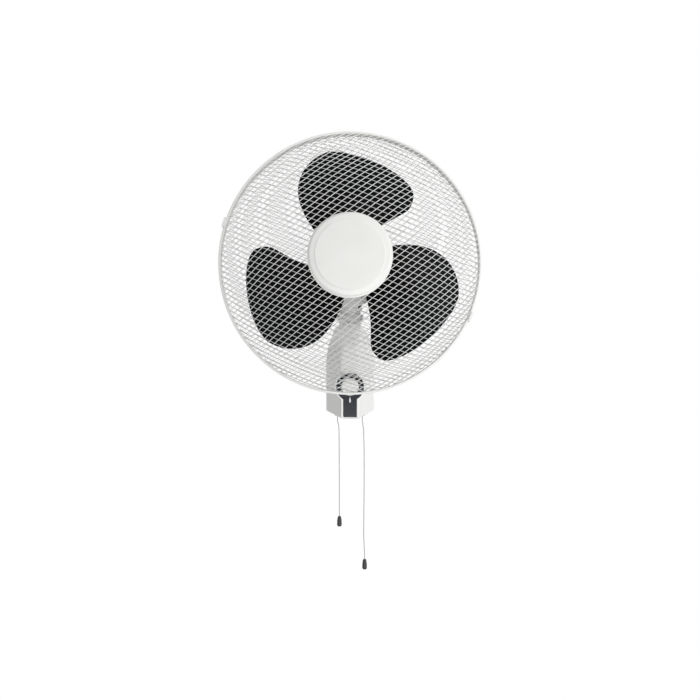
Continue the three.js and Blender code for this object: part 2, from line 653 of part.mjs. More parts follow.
const linkTop = linkBottom + LINK_THICK;
const crankBottom = linkTop + GAP;
function swingCrank() {
  const disc = rod('z', [0, swingMotorY], CRANK_THROW + 4, crankBottom, crankTop, 32);
  const pin = rod('z', [CRANK_THROW, swingMotorY], LINK_PIN_R, linkBottom, crankBottom + 0.5, 16);
  return disc.add(pin);
}
place('swing_crank', swingCrank(), NYLON);

// Flat link from the neck's anchor to the crank; the crank's pin runs in a cross slot.
const swingLimit = radians(SWING_LIMIT);
const anchorShift = LINK_ANCHOR * (1 - Math.cos(swingLimit));
const pinAtLimit = anchorShift + CRANK_THROW * Math.cos(2 * swingLimit);
const crossSlot = [pinAtLimit - LINK_PIN_R - 0.5, CRANK_THROW + LINK_PIN_R + 0.5];
function swingLink() {
  const far = swingMotorY;
  const outline = shapeOf([
    [LINK_ANCHOR - 3.5, PIVOT_Y - 3.5, 3.4], [LINK_ANCHOR + 3.5, PIVOT_Y - 3.5, 3.4],
    [LINK_ANCHOR + 3.5, far + 6, 3.4], [LINK_ANCHOR - 3.5, far + 6, 3.4],
  ]);
  const wide = shapeOf([
    [crossSlot[0] - 2.5, far - 5.6, 2.5], [crossSlot[1] + 4, far - 5.6, 2.5],
    [crossSlot[1] + 4, far + 5.6, 2.5], [crossSlot[0] - 2.5, far + 5.6, 2.5],
  ]);
  const sheet = (shape) => solid(
    new THREE.ExtrudeGeometry(shape, { depth: LINK_THICK, bevelEnabled: false })
      .translate(0, 0, linkBottom),
  );
  const slot = box(
    crossSlot,
    [far - LINK_PIN_R - 1.7, far + LINK_PIN_R + 1.7], [linkBottom - 1, linkTop + 1],
  );
  const span = [linkBottom - 1, linkTop + 1];
  const eye = rod('z', [LINK_ANCHOR, PIVOT_Y], LINK_PIN_R + RUNNING, ...span, 16);
  const body = sheet(outline).add(sheet(wide)).subtract(slot).subtract(eye);
  // Hollowed side that clears the pivot's collar over the head's swing.
  const collar = PIVOT_R + PIVOT_COLLAR + 0.9;
  return [0.5, 0.75, 1].reduce((b, share) => {
    const turn = share * swingLimit;
    const at = [LINK_ANCHOR * (1 - Math.cos(turn)), PIVOT_Y + LINK_ANCHOR * Math.sin(turn)];
    return b.subtract(rod('z', at, collar, ...span, 24));
  }, body);
}
place('swing_link', swingLink(), STEEL);

// ---------------------------------------------------------------- neck
function swivelNeck() {
  let body = rod('x', [PIVOT_Y, TILT_Z], KNUCKLE_R, -KNUCKLE_HALF, KNUCKLE_HALF, 20);
  body = body.add(box([-9, 9], [PIVOT_Y - 8, PIVOT_Y + 8], [TILT_Z, NECK_TOP - 3]));
  body = body.add(rod('z', [0, PIVOT_Y], NECK_R - 2, NECK_TOP - 6.5, NECK_TOP - 4, 28, NECK_R));
  body = body.add(rod('z', [0, PIVOT_Y], NECK_R, NECK_TOP - 4, NECK_TOP, 24));
  const collarR = PIVOT_R + PIVOT_COLLAR;
  body = body.add(rod('z', [0, PIVOT_Y], collarR, NECK_TOP - 1, socketBottom - GAP, 20));
  body = body.add(rod('z', [0, PIVOT_Y], PIVOT_R, NECK_TOP - 1, socketTop - 2 - GAP, PIVOT_SIDES));
  body = body.add(rod('z', [LINK_ANCHOR, PIVOT_Y], LINK_PIN_R, NECK_TOP - 1, linkTop + 0.2, 16));
  const reach = EAR_HALF + 5;
  return body.subtract(rod('x', [PIVOT_Y, TILT_Z], TILT_BOLT_R + GAP, -reach, reach, 20));
}
place('swivel_neck', swivelNeck(), CAST);

// ---------------------------------------------------------------- base housing
// Sections of the base and its arm, from the foot to the neck: back point y and z, front
// point y and z, half width at the back and the front, corner radius at the back and the front.
const backY = -BRACKET_THICK - 0.6;
const foot = [BASE_BACK_HALF, BASE_FRONT_HALF];
const armTip = PIVOT_Y - EAR_HALF;
const SECTIONS = [
  [backY, BASE_FOOT_BACK, 3 - BASE_DEPTH, BASE_FOOT_FRONT, foot[0] - 3, foot[1] - 3, 2, 5],
  [backY, BASE_FOOT_BACK + 4, -BASE_DEPTH, BASE_FOOT_FRONT + 3.4, ...foot, 3, 6],
  [backY, BASE_FOOT_BACK + 40, -BASE_DEPTH - 1, -64, ...foot, 3, 6],
  [backY, 0, -BASE_DEPTH - 2, -12, foot[0], foot[1] + 0.5, 3, 6],
  [backY, 32, -BASE_DEPTH - 5, 2, foot[0] - 4, foot[1] + 1, 5, 7],
  [backY, 52, -BASE_DEPTH - 11, 14, foot[0] - 11, foot[1] + 1, 8, 9],
  [-18, 65, -BASE_DEPTH - 21, 25, foot[0] - 15.4, foot[1] + 1, 13, 12],
  [-48, 70, -BASE_DEPTH - 36, 34, foot[0] - 21.4, foot[1] + 1, 15, 14],
  [-82, 70, PIVOT_Y + 12, 40, EAR_HALF + 4, EAR_HALF - 0.5, 15, 14],
  [-108, 68, PIVOT_Y - 6, 46, EAR_HALF + 1.5, EAR_HALF - 0.5, 12, 12],
  [PIVOT_Y + EAR_HALF, 63, armTip, 60, EAR_HALF, EAR_HALF, 17, 17],
];

// Rings between the sections; inset shrinks them for the hollow inside.
function baseRings(inset) {
  return SECTIONS.map(([yBack, zBack, yFront, zFront, wideBack, wideFront, ...round], i) => {
    const back = new THREE.Vector2(yBack, zBack);
    const front = new THREE.Vector2(yFront, zFront);
    const along = front.clone().sub(back).normalize();
    const up = new THREE.Vector2(-along.y, along.x).multiplyScalar(Math.sign(along.x));
    const ends = { 0: inset, [SECTIONS.length - 1]: -2 * inset };
    back.addScaledVector(along, inset).addScaledVector(up, ends[i] ?? 0);
    front.addScaledVector(along, -inset).addScaledVector(up, ends[i] ?? 0);
    const depth = front.distanceTo(back);
    const [halfBack, halfFront] = [wideBack - inset * 1.1, wideFront - inset * 1.1];
    const [rBack, rFront] = round.map((r) => Math.max(r - inset, 0.6));
    const outline = rounded([
      [-halfBack, 0, rBack], [halfBack, 0, rBack],
      [halfFront, depth, rFront], [-halfFront, depth, rFront],
    ], inset > 0 ? 1 : 2);
    const onPlane = (p) => new THREE.Vector3(p.x, back.x + along.x * p.y, back.y + along.y * p.y);
    return outline.map(onPlane);
  });
}

const plateauBack = -BASE_DEPTH + 14;
const plateauFront = -BASE_DEPTH - PLATEAU_RISE;
function plateau(inset, front) {
  const r = PANEL_RING_R + PANEL_BORDER - inset;
  const half = PANEL_STRIP_HALF + PANEL_BORDER - inset;
  const disc = rod('y', [0, DIAL_Z], r, front, plateauBack, 32);
  return disc.add(box([-half, half], [front, plateauBack], [BASE_FOOT_FRONT + 1 + inset, DIAL_Z]));
}

const backOpening = (inset) => shapeOf([
  [-BASE_BACK_HALF + 4 + inset, BASE_FOOT_BACK + 5 + inset, 3],
  [BASE_BACK_HALF - 4 - inset, BASE_FOOT_BACK + 5 + inset, 3],
  [BASE_BACK_HALF - 4 - inset, 4 - inset, 6],
  [BASE_BACK_HALF - 14 - inset, 44 - inset, 6],
  [-BASE_BACK_HALF + 14 + inset, 44 - inset, 6],
  [-BASE_BACK_HALF + 4 + inset, 4 - inset, 6],
]);
const backScrewX = BASE_BACK_HALF - 13.4;
const backScrewZ = BASE_FOOT_BACK + 18;
const coverFace = backY - COVER_PLATE;
const bossEnd = coverFace - GAP;
const footHeight = (y) => {
  const along = (y - backY) / (-BASE_DEPTH - backY);
  return BASE_FOOT_BACK + (BASE_FOOT_FRONT - BASE_FOOT_BACK) * along;
};
const switchFront = -BASE_DEPTH + 10;

function baseHousing() {
  let body = skinned(baseRings(0)).add(plateau(0, plateauFront));
  body = body.subtract(skinned(baseRings(BASE_WALL)));
  body = body.subtract(plateau(BASE_WALL, plateauFront + BASE_WALL));
  body = body.subtract(upright(backOpening(0), 1, 12));
  // Screw posts for the back cover, grown into the side walls.
  [-1, 1].forEach((side) => {
    const at = [side * backScrewX, backScrewZ];
    body = body.add(rod('y', at, 4.2, bossEnd - 10, bossEnd, 12));
    const rib = [at[0], side * (backScrewX + 6.5)].sort((a, b) => a - b);
    body = body.add(box(rib, [bossEnd - 10, bossEnd - 5], [backScrewZ - 1.5, backScrewZ + 1.5]));
    body = body.subtract(rod('y', at, BACK_SCREW_R + GAP, bossEnd - 8, bossEnd + 1, 8));
  });
  // Posts that carry the speed switch behind the front.
  [-1, 1].forEach((side) => {
    const at = [side * SWITCH_POST_X, DIAL_Z + 6];
    body = body.add(rod('y', at, 2.6, plateauFront + 1, switchFront - GAP, 10));
  });
  // Ears that carry the tilting neck.
  const ears = [PIVOT_Y - EAR_R, PIVOT_Y + EAR_R];
  const cheeks = box([-EAR_HALF, EAR_HALF], ears, [TILT_Z - 14, TILT_Z]);
  body = body.add(cheeks).add(rod('x', [PIVOT_Y, TILT_Z], EAR_R, -EAR_HALF, EAR_HALF, 24));
  const slot = KNUCKLE_HALF + GAP;
  const above = [TILT_Z, TILT_Z + EAR_R + 1];
  body = body.subtract(box([-slot, slot], [ears[0] - 1, ears[1] + 1], above));
  body = body.subtract(rod('x', [PIVOT_Y, TILT_Z], KNUCKLE_R + 1.5, -slot, slot, 24));
  const reach = EAR_HALF + 1;
  body = body.subtract(rod('x', [PIVOT_Y, TILT_Z], TILT_BOLT_R + GAP, -reach, reach, 16));
  // Holes for the pull cords, the mains lead and the dial's stem.
  const underside = [BASE_FOOT_FRONT - 9, BASE_FOOT_BACK + 6];
  [-1, 1].forEach((side) => {
    body = body.subtract(rod('z', [side * CORD_X, CORD_Y], CORD_BUSH_R + GAP, ...underside, 16));
  });
  body = body.subtract(rod('z', [0, GLAND_Y], GLAND_R + GAP, ...underside, 16));
  return body.subtract(rod('y', [0, DIAL_Z], DIAL_STEM_R + 1, plateauFront - 5, plateauFront + 5, 16));
}
place('base_housing', baseHousing(), WHITE);

// ---------------------------------------------------------------- wall bracket, back cover
function wallBracket() {
  const shape = shapeOf([
    [-BRACKET_HALF, -BRACKET_TALL, 6], [BRACKET_HALF, -BRACKET_TALL, 6],
    [BRACKET_HALF, BRACKET_TALL, 6], [-BRACKET_HALF, BRACKET_TALL, 6],
  ]);
  let body = upright(shape, 0, BRACKET_THICK);
  [-1, 1].forEach((end) => {
    const at = [0, end * WALL_SCREW_Z];
    body = body.subtract(rod('y', at, WALL_SCREW_R, -BRACKET_THICK - 1, 1, 20));
  });
  const lipBack = coverFace - 0.5;
  const lipFront = lipBack - BRACKET_THICK;
  [-1, 1].forEach((side) => {
    const wide = [side * HOOK_X - 6, side * HOOK_X + 6];
    body = body.add(box(wide, [lipFront, -0.5], [14, 16]));
    body = body.add(box(wide, [lipFront, lipBack], [14, 24]));
  });
  return body;
}
place('wall_bracket', wallBracket(), STEEL);

const leverBack = CORD_Y + LEVER_WIDE / 2;
const leverFront = CORD_Y - LEVER_WIDE / 2;

function backCover() {
  let body = upright(backOpening(GAP), backY, COVER_PLATE);
  [-1, 1].forEach((side) => {
    const wide = [side * HOOK_X - 7, side * HOOK_X + 7];
    body = body.subtract(box(wide, [coverFace - 1, backY + 1], [5, 16.3]));
    const at = [side * backScrewX, backScrewZ];
    body = body.subtract(rod('y', at, BACK_SCREW_R + GAP, coverFace - 1, backY + 1, 16));
  });
  const mid = (SWING_SWITCH.x[0] + SWING_SWITCH.x[1]) / 2;
  [SWING_SWITCH.z[0] + 6, SWING_SWITCH.z[1] - 6].forEach((z) => {
    body = body.add(rod('y', [mid, z], 3.4, SWING_SWITCH.back + GAP, backY - 1, 8));
  });
  return body;
}
place('base_back_cover', backCover(), WHITE);
[['left', -1], ['right', 1]].forEach(([side, sign]) => {
  const seat = backY + GAP;
  const body = screw(sign * backScrewX, backScrewZ, BACK_SCREW_R, seat, bossEnd - 7 - seat);
  place(`back_screw_${side}`, body, STEEL);
});

// ---------------------------------------------------------------- front panel and dial
const panelBack = plateauFront - GAP;
const panelFront = panelBack - PANEL_THICK;
function frontPanel() {
  const flare = 4;
  const top = DIAL_Z - Math.sqrt(PANEL_RING_R ** 2 - (PANEL_STRIP_HALF + flare) ** 2) + 0.5;
  const shape = new THREE.Shape();
  shape.moveTo(-PANEL_STRIP_HALF, BASE_FOOT_FRONT + 3);
  shape.lineTo(PANEL_STRIP_HALF, BASE_FOOT_FRONT + 3);
  shape.lineTo(PANEL_STRIP_HALF, top - flare);
  shape.quadraticCurveTo(PANEL_STRIP_HALF, top, PANEL_STRIP_HALF + flare, top + 1);
  shape.lineTo(-PANEL_STRIP_HALF - flare, top + 1);
  shape.quadraticCurveTo(-PANEL_STRIP_HALF, top, -PANEL_STRIP_HALF, top - flare);
  const disc = rod('y', [0, DIAL_Z], PANEL_RING_R, panelFront, panelBack, 32);
  const body = disc.add(upright(shape, panelBack, PANEL_THICK));
  return body.subtract(rod('y', [0, DIAL_Z], DIAL_R + GAP + 0.2, panelFront - 1, panelBack + 1, 32));
}
place('front_panel', frontPanel(), DARK);

const dialFront = panelFront - DIAL_RISE;
function speedDial() {
  const disc = rod('y', [0, DIAL_Z], DIAL_R - 1, dialFront, dialFront + 1, 32, DIAL_R);
  const skirt = rod('y', [0, DIAL_Z], DIAL_R, dialFront + 1, panelBack, 32);
  const stem = rod('y', [0, DIAL_Z], DIAL_STEM_R, panelBack - 1, switchFront + 5, 16);
  return disc.add(skirt).add(stem);
}
place('speed_dial', speedDial(), WHITE);

// ---------------------------------------------------------------- switches and levers
function speedSwitch() {
  const tall = [LEVER_Z - SPEED_SWITCH.below, DIAL_Z + SPEED_SWITCH.above];
  let body = box(SPEED_SWITCH.x, [switchFront, leverFront - GAP], tall);
  body = body.add(rod('y', [LEVER_ARM - CORD_X, LEVER_Z], LEVER_PIN_R, leverFront - 1, leverBack, 20));
  const bore = rod('y', [0, DIAL_Z], DIAL_STEM_R + RUNNING, switchFront - 1, switchFront + 6, 16);
  return body.subtract(bore);
}
place('speed_switch', speedSwitch(), DARK);

function swingSwitch() {
  const body = box(SWING_SWITCH.x, [leverBack + GAP, SWING_SWITCH.back], SWING_SWITCH.z);
  return body.add(rod('y', [CORD_X - LEVER_ARM, LEVER_Z], LEVER_PIN_R, leverFront, leverBack + 1, 20));
}
place('swing_switch', swingSwitch(), DARK);

// Lever with a slot the cord hangs through; side is -1 on the left, 1 on the right.
function lever(side) {
  const pivotX = side * (CORD_X - LEVER_ARM);
  const thick = 2.4;
  let body = rod('y', [0, 0], 4, leverFront, leverBack, 24);
  body = body.add(box([0, LEVER_ARM + 5.5], [leverFront, leverBack], [-thick / 2, thick / 2]));
  const slot = [LEVER_ARM - CORD_R - 0.6, LEVER_ARM / Math.cos(radians(LEVER_REST)) + CORD_R + 1.1];
  body = body.subtract(box(slot, [CORD_Y - 1.5, CORD_Y + 1.5], [-5, 5]));
  body = body.subtract(rod('y', [0, 0], LEVER_PIN_R + RUNNING, leverFront - 1, leverBack + 1, 20));
  body = body.rotate([0, -LEVER_REST, 0]);
  if (side < 0) body = body.rotate([0, 0, 180]).translate([0, 2 * CORD_Y, 0]);
  return body.translate([pivotX, 0, LEVER_Z]);
}
place('speed_lever', lever(-1), NYLON);
place('swing_lever', lever(1), NYLON);

const onCover = ({ x, z, deep }) => box(x, [coverFace - GAP - deep, coverFace - GAP], z);
place('terminal_block', onCover(TERMINAL), NYLON);
place('capacitor', onCover(CAPACITOR), WHITE);

// ---------------------------------------------------------------- gland, bushes, tilt bolt
// Bush that a lead or cord leaves through, with a flange under the base.
function bush(x, y, radius, bore, below) {
  const floor = footHeight(y);
  const flangeTop = floor - 0.2 - 0.2 * radius;
  let body = rod('z', [x, y], radius, flangeTop - below, floor + 5.5, 16);
  body = body.add(rod('z', [x, y], radius + 1.4, flangeTop - below, flangeTop - below + 1.2, 16));
  return body.subtract(rod('z', [x, y], bore, flangeTop - below - 1, floor + 8, 16));
}
place('cord_gland', bush(0, GLAND_Y, GLAND_R, GLAND_BORE, 2.4), RUBBER);
place('speed_cord_bush', bush(-CORD_X, CORD_Y, CORD_BUSH_R, CORD_BUSH_BORE, 1.8), RUBBER);
place('swing_cord_bush', bush(CORD_X, CORD_Y, CORD_BUSH_R, CORD_BUSH_BORE, 1.8), RUBBER);

const boltHead = 4;
const earFace = EAR_HALF + GAP;
place('tilt_bolt', rod('x', [PIVOT_Y, TILT_Z], TILT_BOLT_R, -earFace - 5, earFace + 1, 24)
  .add(rod('x', [PIVOT_Y, TILT_Z], 6, earFace, earFace + boltHead, 6)), STEEL);
place('tilt_nut', rod('x', [PIVOT_Y, TILT_Z], 6, -earFace - 4, -earFace, 6)
  .subtract(rod('x', [PIVOT_Y, TILT_Z], TILT_BOLT_R + RUNNING, -earFace - 6, 0, 24)), STEEL);

// ---------------------------------------------------------------- pull cords
const knotRise = LEVER_ARM * Math.sin(radians(LEVER_REST)) + CORD_KNOT_R + 2.8;
const knotZ = LEVER_Z + knotRise;
const hung = (side, route) => route.map(([x, z]) => [side * (CORD_X + x), CORD_Y, z]);
// Each cord's route as [outward shift, height]: straight down out of its bush, then the
// slight lie it hangs in, down to its knot in the toggle.
const SPEED_CORD = hung(-1, [
  [0, knotZ], [0, -92], [0, -104], [0, -116], [-1.4, -123], [-2.7, -132], [-3.1, -170],
  [-3.4, -240], [-3.5, -309],
]);
const SWING_CORD = hung(1, [
  [0, knotZ], [0, -92], [0, -104], [0, -116], [1.2, -125], [2.4, -137], [3.4, -180],
  [3.4, -240], [2.6, -330], [4, -368], [4.2, -380], [4.2, -392],
]);

function cord(route) {
  const path = new THREE.CatmullRomCurve3(route.map((p) => new THREE.Vector3(...p)));
  const steps = Math.min(80, Math.round(path.getLength() / (6 * CORD_R)));
  const sides = 8;
  const section = new THREE.Shape();
  for (let k = 0; k < sides; k += 1) {
    const a = (2 * Math.PI * k) / sides;
    const [u, v] = [CORD_R * Math.cos(a), CORD_R * Math.sin(a)];
    if (k === 0) section.moveTo(u, v);
    else section.lineTo(u, v);
  }
  const options = { steps, extrudePath: path, bevelEnabled: false };
  const body = solid(new THREE.ExtrudeGeometry(section, options));
  const knot = new THREE.SphereGeometry(CORD_KNOT_R, 8, 6).translate(...route[0]);
  return body.add(solid(knot));
}

// Pull at a cord's end: a tapered drum, its top sitting above the cord's last point.
function toggle(route) {
  const [x, y, end] = route[route.length - 1];
  const top = end + 8;
  const profile = [
    [CORD_R + GAP, 0], [2.6, 0], [3.6, -2.5], [TOGGLE_R - 0.3, -8], [TOGGLE_R, 2 - TOGGLE_LONG],
    [TOGGLE_R - 1.4, -TOGGLE_LONG], [0, -TOGGLE_LONG], [0, -8.3], [CORD_R + GAP, -8.3],
  ];
  const points = profile.map(([r, z]) => new THREE.Vector2(r, z));
  const geometry = new THREE.LatheGeometry([...points, points[0].clone()], 16);
  return solid(geometry.rotateX(Math.PI / 2).translate(x, y, top));
}
place('speed_cord', cord(SPEED_CORD), STRING);
place('speed_toggle', toggle(SPEED_CORD), RUBBER);
place('swing_cord', cord(SWING_CORD), STRING);
place('swing_toggle', toggle(SWING_CORD), RUBBER);

export default fan;
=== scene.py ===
import bisect
import json
import math

import bmesh
import bpy
from mathutils import Matrix, Vector


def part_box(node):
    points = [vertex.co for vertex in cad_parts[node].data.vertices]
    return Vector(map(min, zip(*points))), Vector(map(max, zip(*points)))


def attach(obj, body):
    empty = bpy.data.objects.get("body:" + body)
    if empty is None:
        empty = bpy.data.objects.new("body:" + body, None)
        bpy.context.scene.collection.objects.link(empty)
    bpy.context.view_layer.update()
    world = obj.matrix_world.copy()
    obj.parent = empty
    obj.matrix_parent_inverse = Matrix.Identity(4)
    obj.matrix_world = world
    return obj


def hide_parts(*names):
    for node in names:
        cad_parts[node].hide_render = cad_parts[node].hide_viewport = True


# Wall mounted fan: +Z up, the wall at y = 0, the fan faces -Y.
# Shapes are drawn in millimetres, as in the CAD source, and solid() turns them into metres.
# The camera, the lamps, the floor and the materials are in metres.
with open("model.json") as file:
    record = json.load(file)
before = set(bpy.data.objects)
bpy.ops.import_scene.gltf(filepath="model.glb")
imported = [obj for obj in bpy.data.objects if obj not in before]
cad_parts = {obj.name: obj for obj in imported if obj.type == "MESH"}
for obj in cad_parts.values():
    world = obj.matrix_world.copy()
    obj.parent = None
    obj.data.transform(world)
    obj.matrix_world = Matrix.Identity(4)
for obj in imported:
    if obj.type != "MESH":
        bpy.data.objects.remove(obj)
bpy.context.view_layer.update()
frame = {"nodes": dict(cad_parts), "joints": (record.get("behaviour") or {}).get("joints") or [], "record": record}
nodes = frame["nodes"]

MM = 0.001
ALONG_X, ALONG_Y, ALONG_Z = Vector((1, 0, 0)), Vector((0, 1, 0)), Vector((0, 0, 1))


def joint_place(name):
    """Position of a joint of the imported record, in millimetres."""
    return next(Vector(j["pos_m"]) for j in frame["joints"] if j["name"] == name) / MM


def node_box(name):
    """Lowest and highest corners of a CAD node at rest, in millimetres."""
    low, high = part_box(name)
    return low / MM, high / MM


AXIS = joint_place("rotor_spin")
PIVOT = joint_place("head_swing")
TILT = joint_place("head_tilt")
DIAL = joint_place("dial_turn")
HUB = Vector((0, 0, AXIS.z))      # where the rotor's axis meets the wall

# What the shapes share with the CAD source.
GAP = 0.3             # between pieces that only rest on each other
RUNNING = 0.06        # radial clearance where a round turns in a bore
SHAFT_R = 4
BOSS_R = 17           # threaded nose of the motor, which carries the rear grille
KNUCKLE_HALF = 11
TILT_BOLT_R = 3
EAR_HALF, EAR_R = 19, 12.5
NECK_TOP, NECK_R = 91.5, 14
CORD_X, CORD_Y = 24, -34
CORD_BUSH_R = 3
GLAND_R, GLAND_Y = 5, -22

# ------------------------------------------------------------------ camera
# The photograph's upright edges are parallel: the camera is level and its picture shifted up.
CAMERA_AT = (0, -1.4167, -0.058)
CAMERA_LENS = 36.74
CAMERA_SENSOR = 36
CAMERA_SHIFT = 0.058


def make_camera():
    data = bpy.data.cameras.new("camera")
    data.lens = CAMERA_LENS
    data.sensor_width = CAMERA_SENSOR
    data.shift_y = CAMERA_SHIFT
    camera = bpy.data.objects.new("camera", data)
    camera.location = CAMERA_AT
    camera.rotation_euler = (math.pi / 2, 0, 0)
    bpy.context.scene.collection.objects.link(camera)
    bpy.context.scene.camera = camera


# ------------------------------------------------------------------ materials
class Material:
    """A node material being put together round one Principled shader."""

    def __init__(self, name, colour, roughness, **sockets):
        self.made = bpy.data.materials.new(name)
        self.made.use_nodes = True
        self.tree = self.made.node_tree
        self.shader = self.tree.nodes["Principled BSDF"]
        self.shader.inputs["Base Color"].default_value = (*colour, 1)
        self.shader.inputs["Roughness"].default_value = roughness
        for socket, value in sockets.items():
            self.shader.inputs[socket.replace("_", " ")].default_value = value
        self.place = self.node("ShaderNodeTexCoord").outputs["Object"]

    def node(self, kind, **settings):
        made = self.tree.nodes.new(kind)
        for key, value in settings.items():
            setattr(made, key, value)
        return made

    def link(self, source, target):
        self.tree.links.new(source, target)

    def noise(self, size, detail=4):
        """Noise whose features are about size metres across."""
        made = self.node("ShaderNodeTexNoise")
        made.inputs["Scale"].default_value = 1 / size
        made.inputs["Detail"].default_value = detail
        made.inputs["Roughness"].default_value = 0.55
        self.link(self.place, made.inputs["Vector"])
        return made.outputs["Fac"]

    def colour(self, source, *stops):
        """Colours the surface by source, between two stops of (place from 0 to 1, colour)."""
        made = self.node("ShaderNodeValToRGB")
        for element, (at, colour) in zip(made.color_ramp.elements, stops):
            element.position = at
            element.color = (*colour, 1)
        self.link(source, made.inputs["Fac"])
        self.link(made.outputs["Color"], self.shader.inputs["Base Color"])

    def roughness(self, source, low, high):
        """Varies the roughness by source, from low to high."""
        made = self.node("ShaderNodeMapRange")
        made.inputs["To Min"].default_value = low
        made.inputs["To Max"].default_value = high
        self.link(source, made.inputs["Value"])
        self.link(made.outputs["Result"], self.shader.inputs["Roughness"])

    def bump(self, source, height):
        """Relief that is height metres deep."""
        made = self.node("ShaderNodeBump")
        made.inputs["Strength"].default_value = 1
        made.inputs["Distance"].default_value = height
        self.link(source, made.inputs["Height"])
        self.link(made.outputs["Normal"], self.shader.inputs["Normal"])


def dimmed(colour, share):
    return tuple(c * share for c in colour)


def moulded(name, colour, roughness, grain=0.00002, **sockets):
    """Injection moulded plastic: faint mottling and a very fine grain."""
    m = Material(name, colour, roughness, **sockets)
    m.colour(m.noise(size=0.045, detail=3), (0.35, dimmed(colour, 0.97)), (0.65, colour))
    m.roughness(m.noise(size=0.012), roughness * 0.85, roughness * 1.15)
    m.bump(m.noise(size=0.0006, detail=2), grain)
    return m.made


def coated_wire(name, colour):
    """Powder coat with its orange peel."""
    m = Material(name, colour, 0.38, Coat_Weight=0.25, Coat_Roughness=0.2)
    m.colour(m.noise(size=0.02, detail=3), (0.3, dimmed(colour, 0.95)), (0.7, colour))
    m.bump(m.noise(size=0.0009, detail=3), 0.00003)
    return m.made


def metal(name, colour, roughness, grain, height):
    """Bare metal with a grain of the given size and height."""
    m = Material(name, colour, roughness, Metallic=1.0)
    m.colour(m.noise(size=0.006), (0.3, dimmed(colour, 0.8)), (0.7, colour))
    m.roughness(m.noise(size=0.003), roughness * 0.8, roughness * 1.3)
    m.bump(m.noise(size=grain), height)
    return m.made


def wound(name, colour):
    """Enamelled wire: fine turns seen as a bump round the coil, with painted shade in the grooves between them."""
    turns_scale = 400
    m = Material(name, colour, 0.35, Metallic=0.8)
    turns = m.node("ShaderNodeTexWave", wave_type="RINGS", rings_direction="Y")
    turns.inputs["Scale"].default_value = turns_scale
    m.link(m.place, turns.inputs["Vector"])
    # painted shade: half as bright in the grooves between turns
    m.colour(turns.outputs["Fac"], (0.1, dimmed(colour, 0.5)), (0.6, colour))
    m.bump(turns.outputs["Fac"], 0.0002)
    return m.made


def smoked(name, colour, painted_hub_shade):
    """Tinted plastic, painted darker near the hub and lighter towards the blade tips: painted shade at the roots
    and a painted sheen at the tips.
    """
    shade_to, sheen_from = 0.06, 0.19
    m = Material(name, colour, 0.36, Specular_IOR_Level=0.04)
    flat = m.node("ShaderNodeMapping")
    flat.inputs["Location"].default_value = (0, 0, -AXIS.z * MM)
    flat.inputs["Scale"].default_value = (1, 0, 1)
    m.link(m.place, flat.inputs["Vector"])
    reach = m.node("ShaderNodeVectorMath", operation="LENGTH")
    m.link(flat.outputs["Vector"], reach.inputs[0])
    along = m.node("ShaderNodeMapRange")
    along.inputs["From Min"].default_value = shade_to
    along.inputs["From Max"].default_value = sheen_from
    m.link(reach.outputs["Value"], along.inputs["Value"])
    # painted shade at the hub that gives way to a painted sheen towards the tips
    m.colour(along.outputs["Result"], (0.1, dimmed(colour, painted_hub_shade)), (1.0, colour))
    m.roughness(m.noise(size=0.012), 0.3, 0.42)
    m.bump(m.noise(size=0.0006, detail=2), 0.00002)
    return m.made


def braided(name, colour):
    """Braided string: two crossing families of ridges, with painted shade between them."""
    lay, ridge_scale = math.radians(40), 350
    m = Material(name, colour, 0.85, Sheen_Weight=0.3)
    both = m.node("ShaderNodeMath", operation="MAXIMUM")
    for family, slope in enumerate((lay, -lay)):
        mapping = m.node("ShaderNodeMapping")
        mapping.inputs["Rotation"].default_value = (0, slope, 0)
        m.link(m.place, mapping.inputs["Vector"])
        ridges = m.node("ShaderNodeTexWave", bands_direction="Z")
        ridges.inputs["Scale"].default_value = ridge_scale
        m.link(mapping.outputs["Vector"], ridges.inputs["Vector"])
        m.link(ridges.outputs["Fac"], both.inputs[family])
    # painted shade: darker between the ridges
    m.colour(both.outputs[0], (0.2, dimmed(colour, 0.7)), (0.8, colour))
    m.bump(both.outputs[0], 0.00015)
    return m.made


WHITE = (0.82, 0.82, 0.8)
# Lighter copy of WHITE for the base and the neck: painted light that makes up for the head's shade over them
BRIGHTENED_WHITE = (0.9, 0.9, 0.885)
PANEL_BLACK = (0.006, 0.009, 0.017)
MATERIALS = {
    "white_plastic": moulded("white_plastic", WHITE, 0.38),
    "brightened_white_plastic": moulded("brightened_white_plastic", BRIGHTENED_WHITE, 0.38),
    # the neck's white paint is the lighter copy too: painted light
    "painted_casting": coated_wire("painted_casting", BRIGHTENED_WHITE),
    "white_wire": coated_wire("white_wire", (0.82, 0.825, 0.81)),
    # the falling wires are the same coated wire as the rising ones, painted darker: painted shade
    "shaded_wire": coated_wire("shaded_wire", (0.56, 0.565, 0.555)),
    "dark_panel": moulded("dark_panel", PANEL_BLACK, 0.18, Specular_IOR_Level=0.2),
    "smoked_plastic": smoked("smoked_plastic", (0.0042, 0.006, 0.007), painted_hub_shade=0.15),
    "steel": metal("steel", (0.55, 0.56, 0.58), 0.35, grain=0.0008, height=0.00003),
    "cast_metal": metal("cast_metal", (0.64, 0.65, 0.66), 0.5, grain=0.0012, height=0.00012),
    "copper_wire": wound("copper_wire", (0.62, 0.26, 0.11)),
    "bronze": metal("bronze", (0.58, 0.42, 0.2), 0.45, grain=0.0006, height=0.00004),
    "nylon": moulded("nylon", (0.75, 0.75, 0.7), 0.5),
    "string": braided("string", (0.55, 0.55, 0.54)),
    "rubber": moulded("rubber", (0.012, 0.012, 0.013), 0.5, grain=0.00005),
}
SLOT_OF = {part["node"]: part["material_slot"] for part in frame["record"]["subparts"]}

# ------------------------------------------------------------------ mesh helpers
SMOOTH = 40           # degrees: edges that turn more than this stay sharp in shading
CAD_SMOOTH = 32       # the same for the coarser CAD nodes
WELD = 1e-6           # metres: points nearer than this are joined


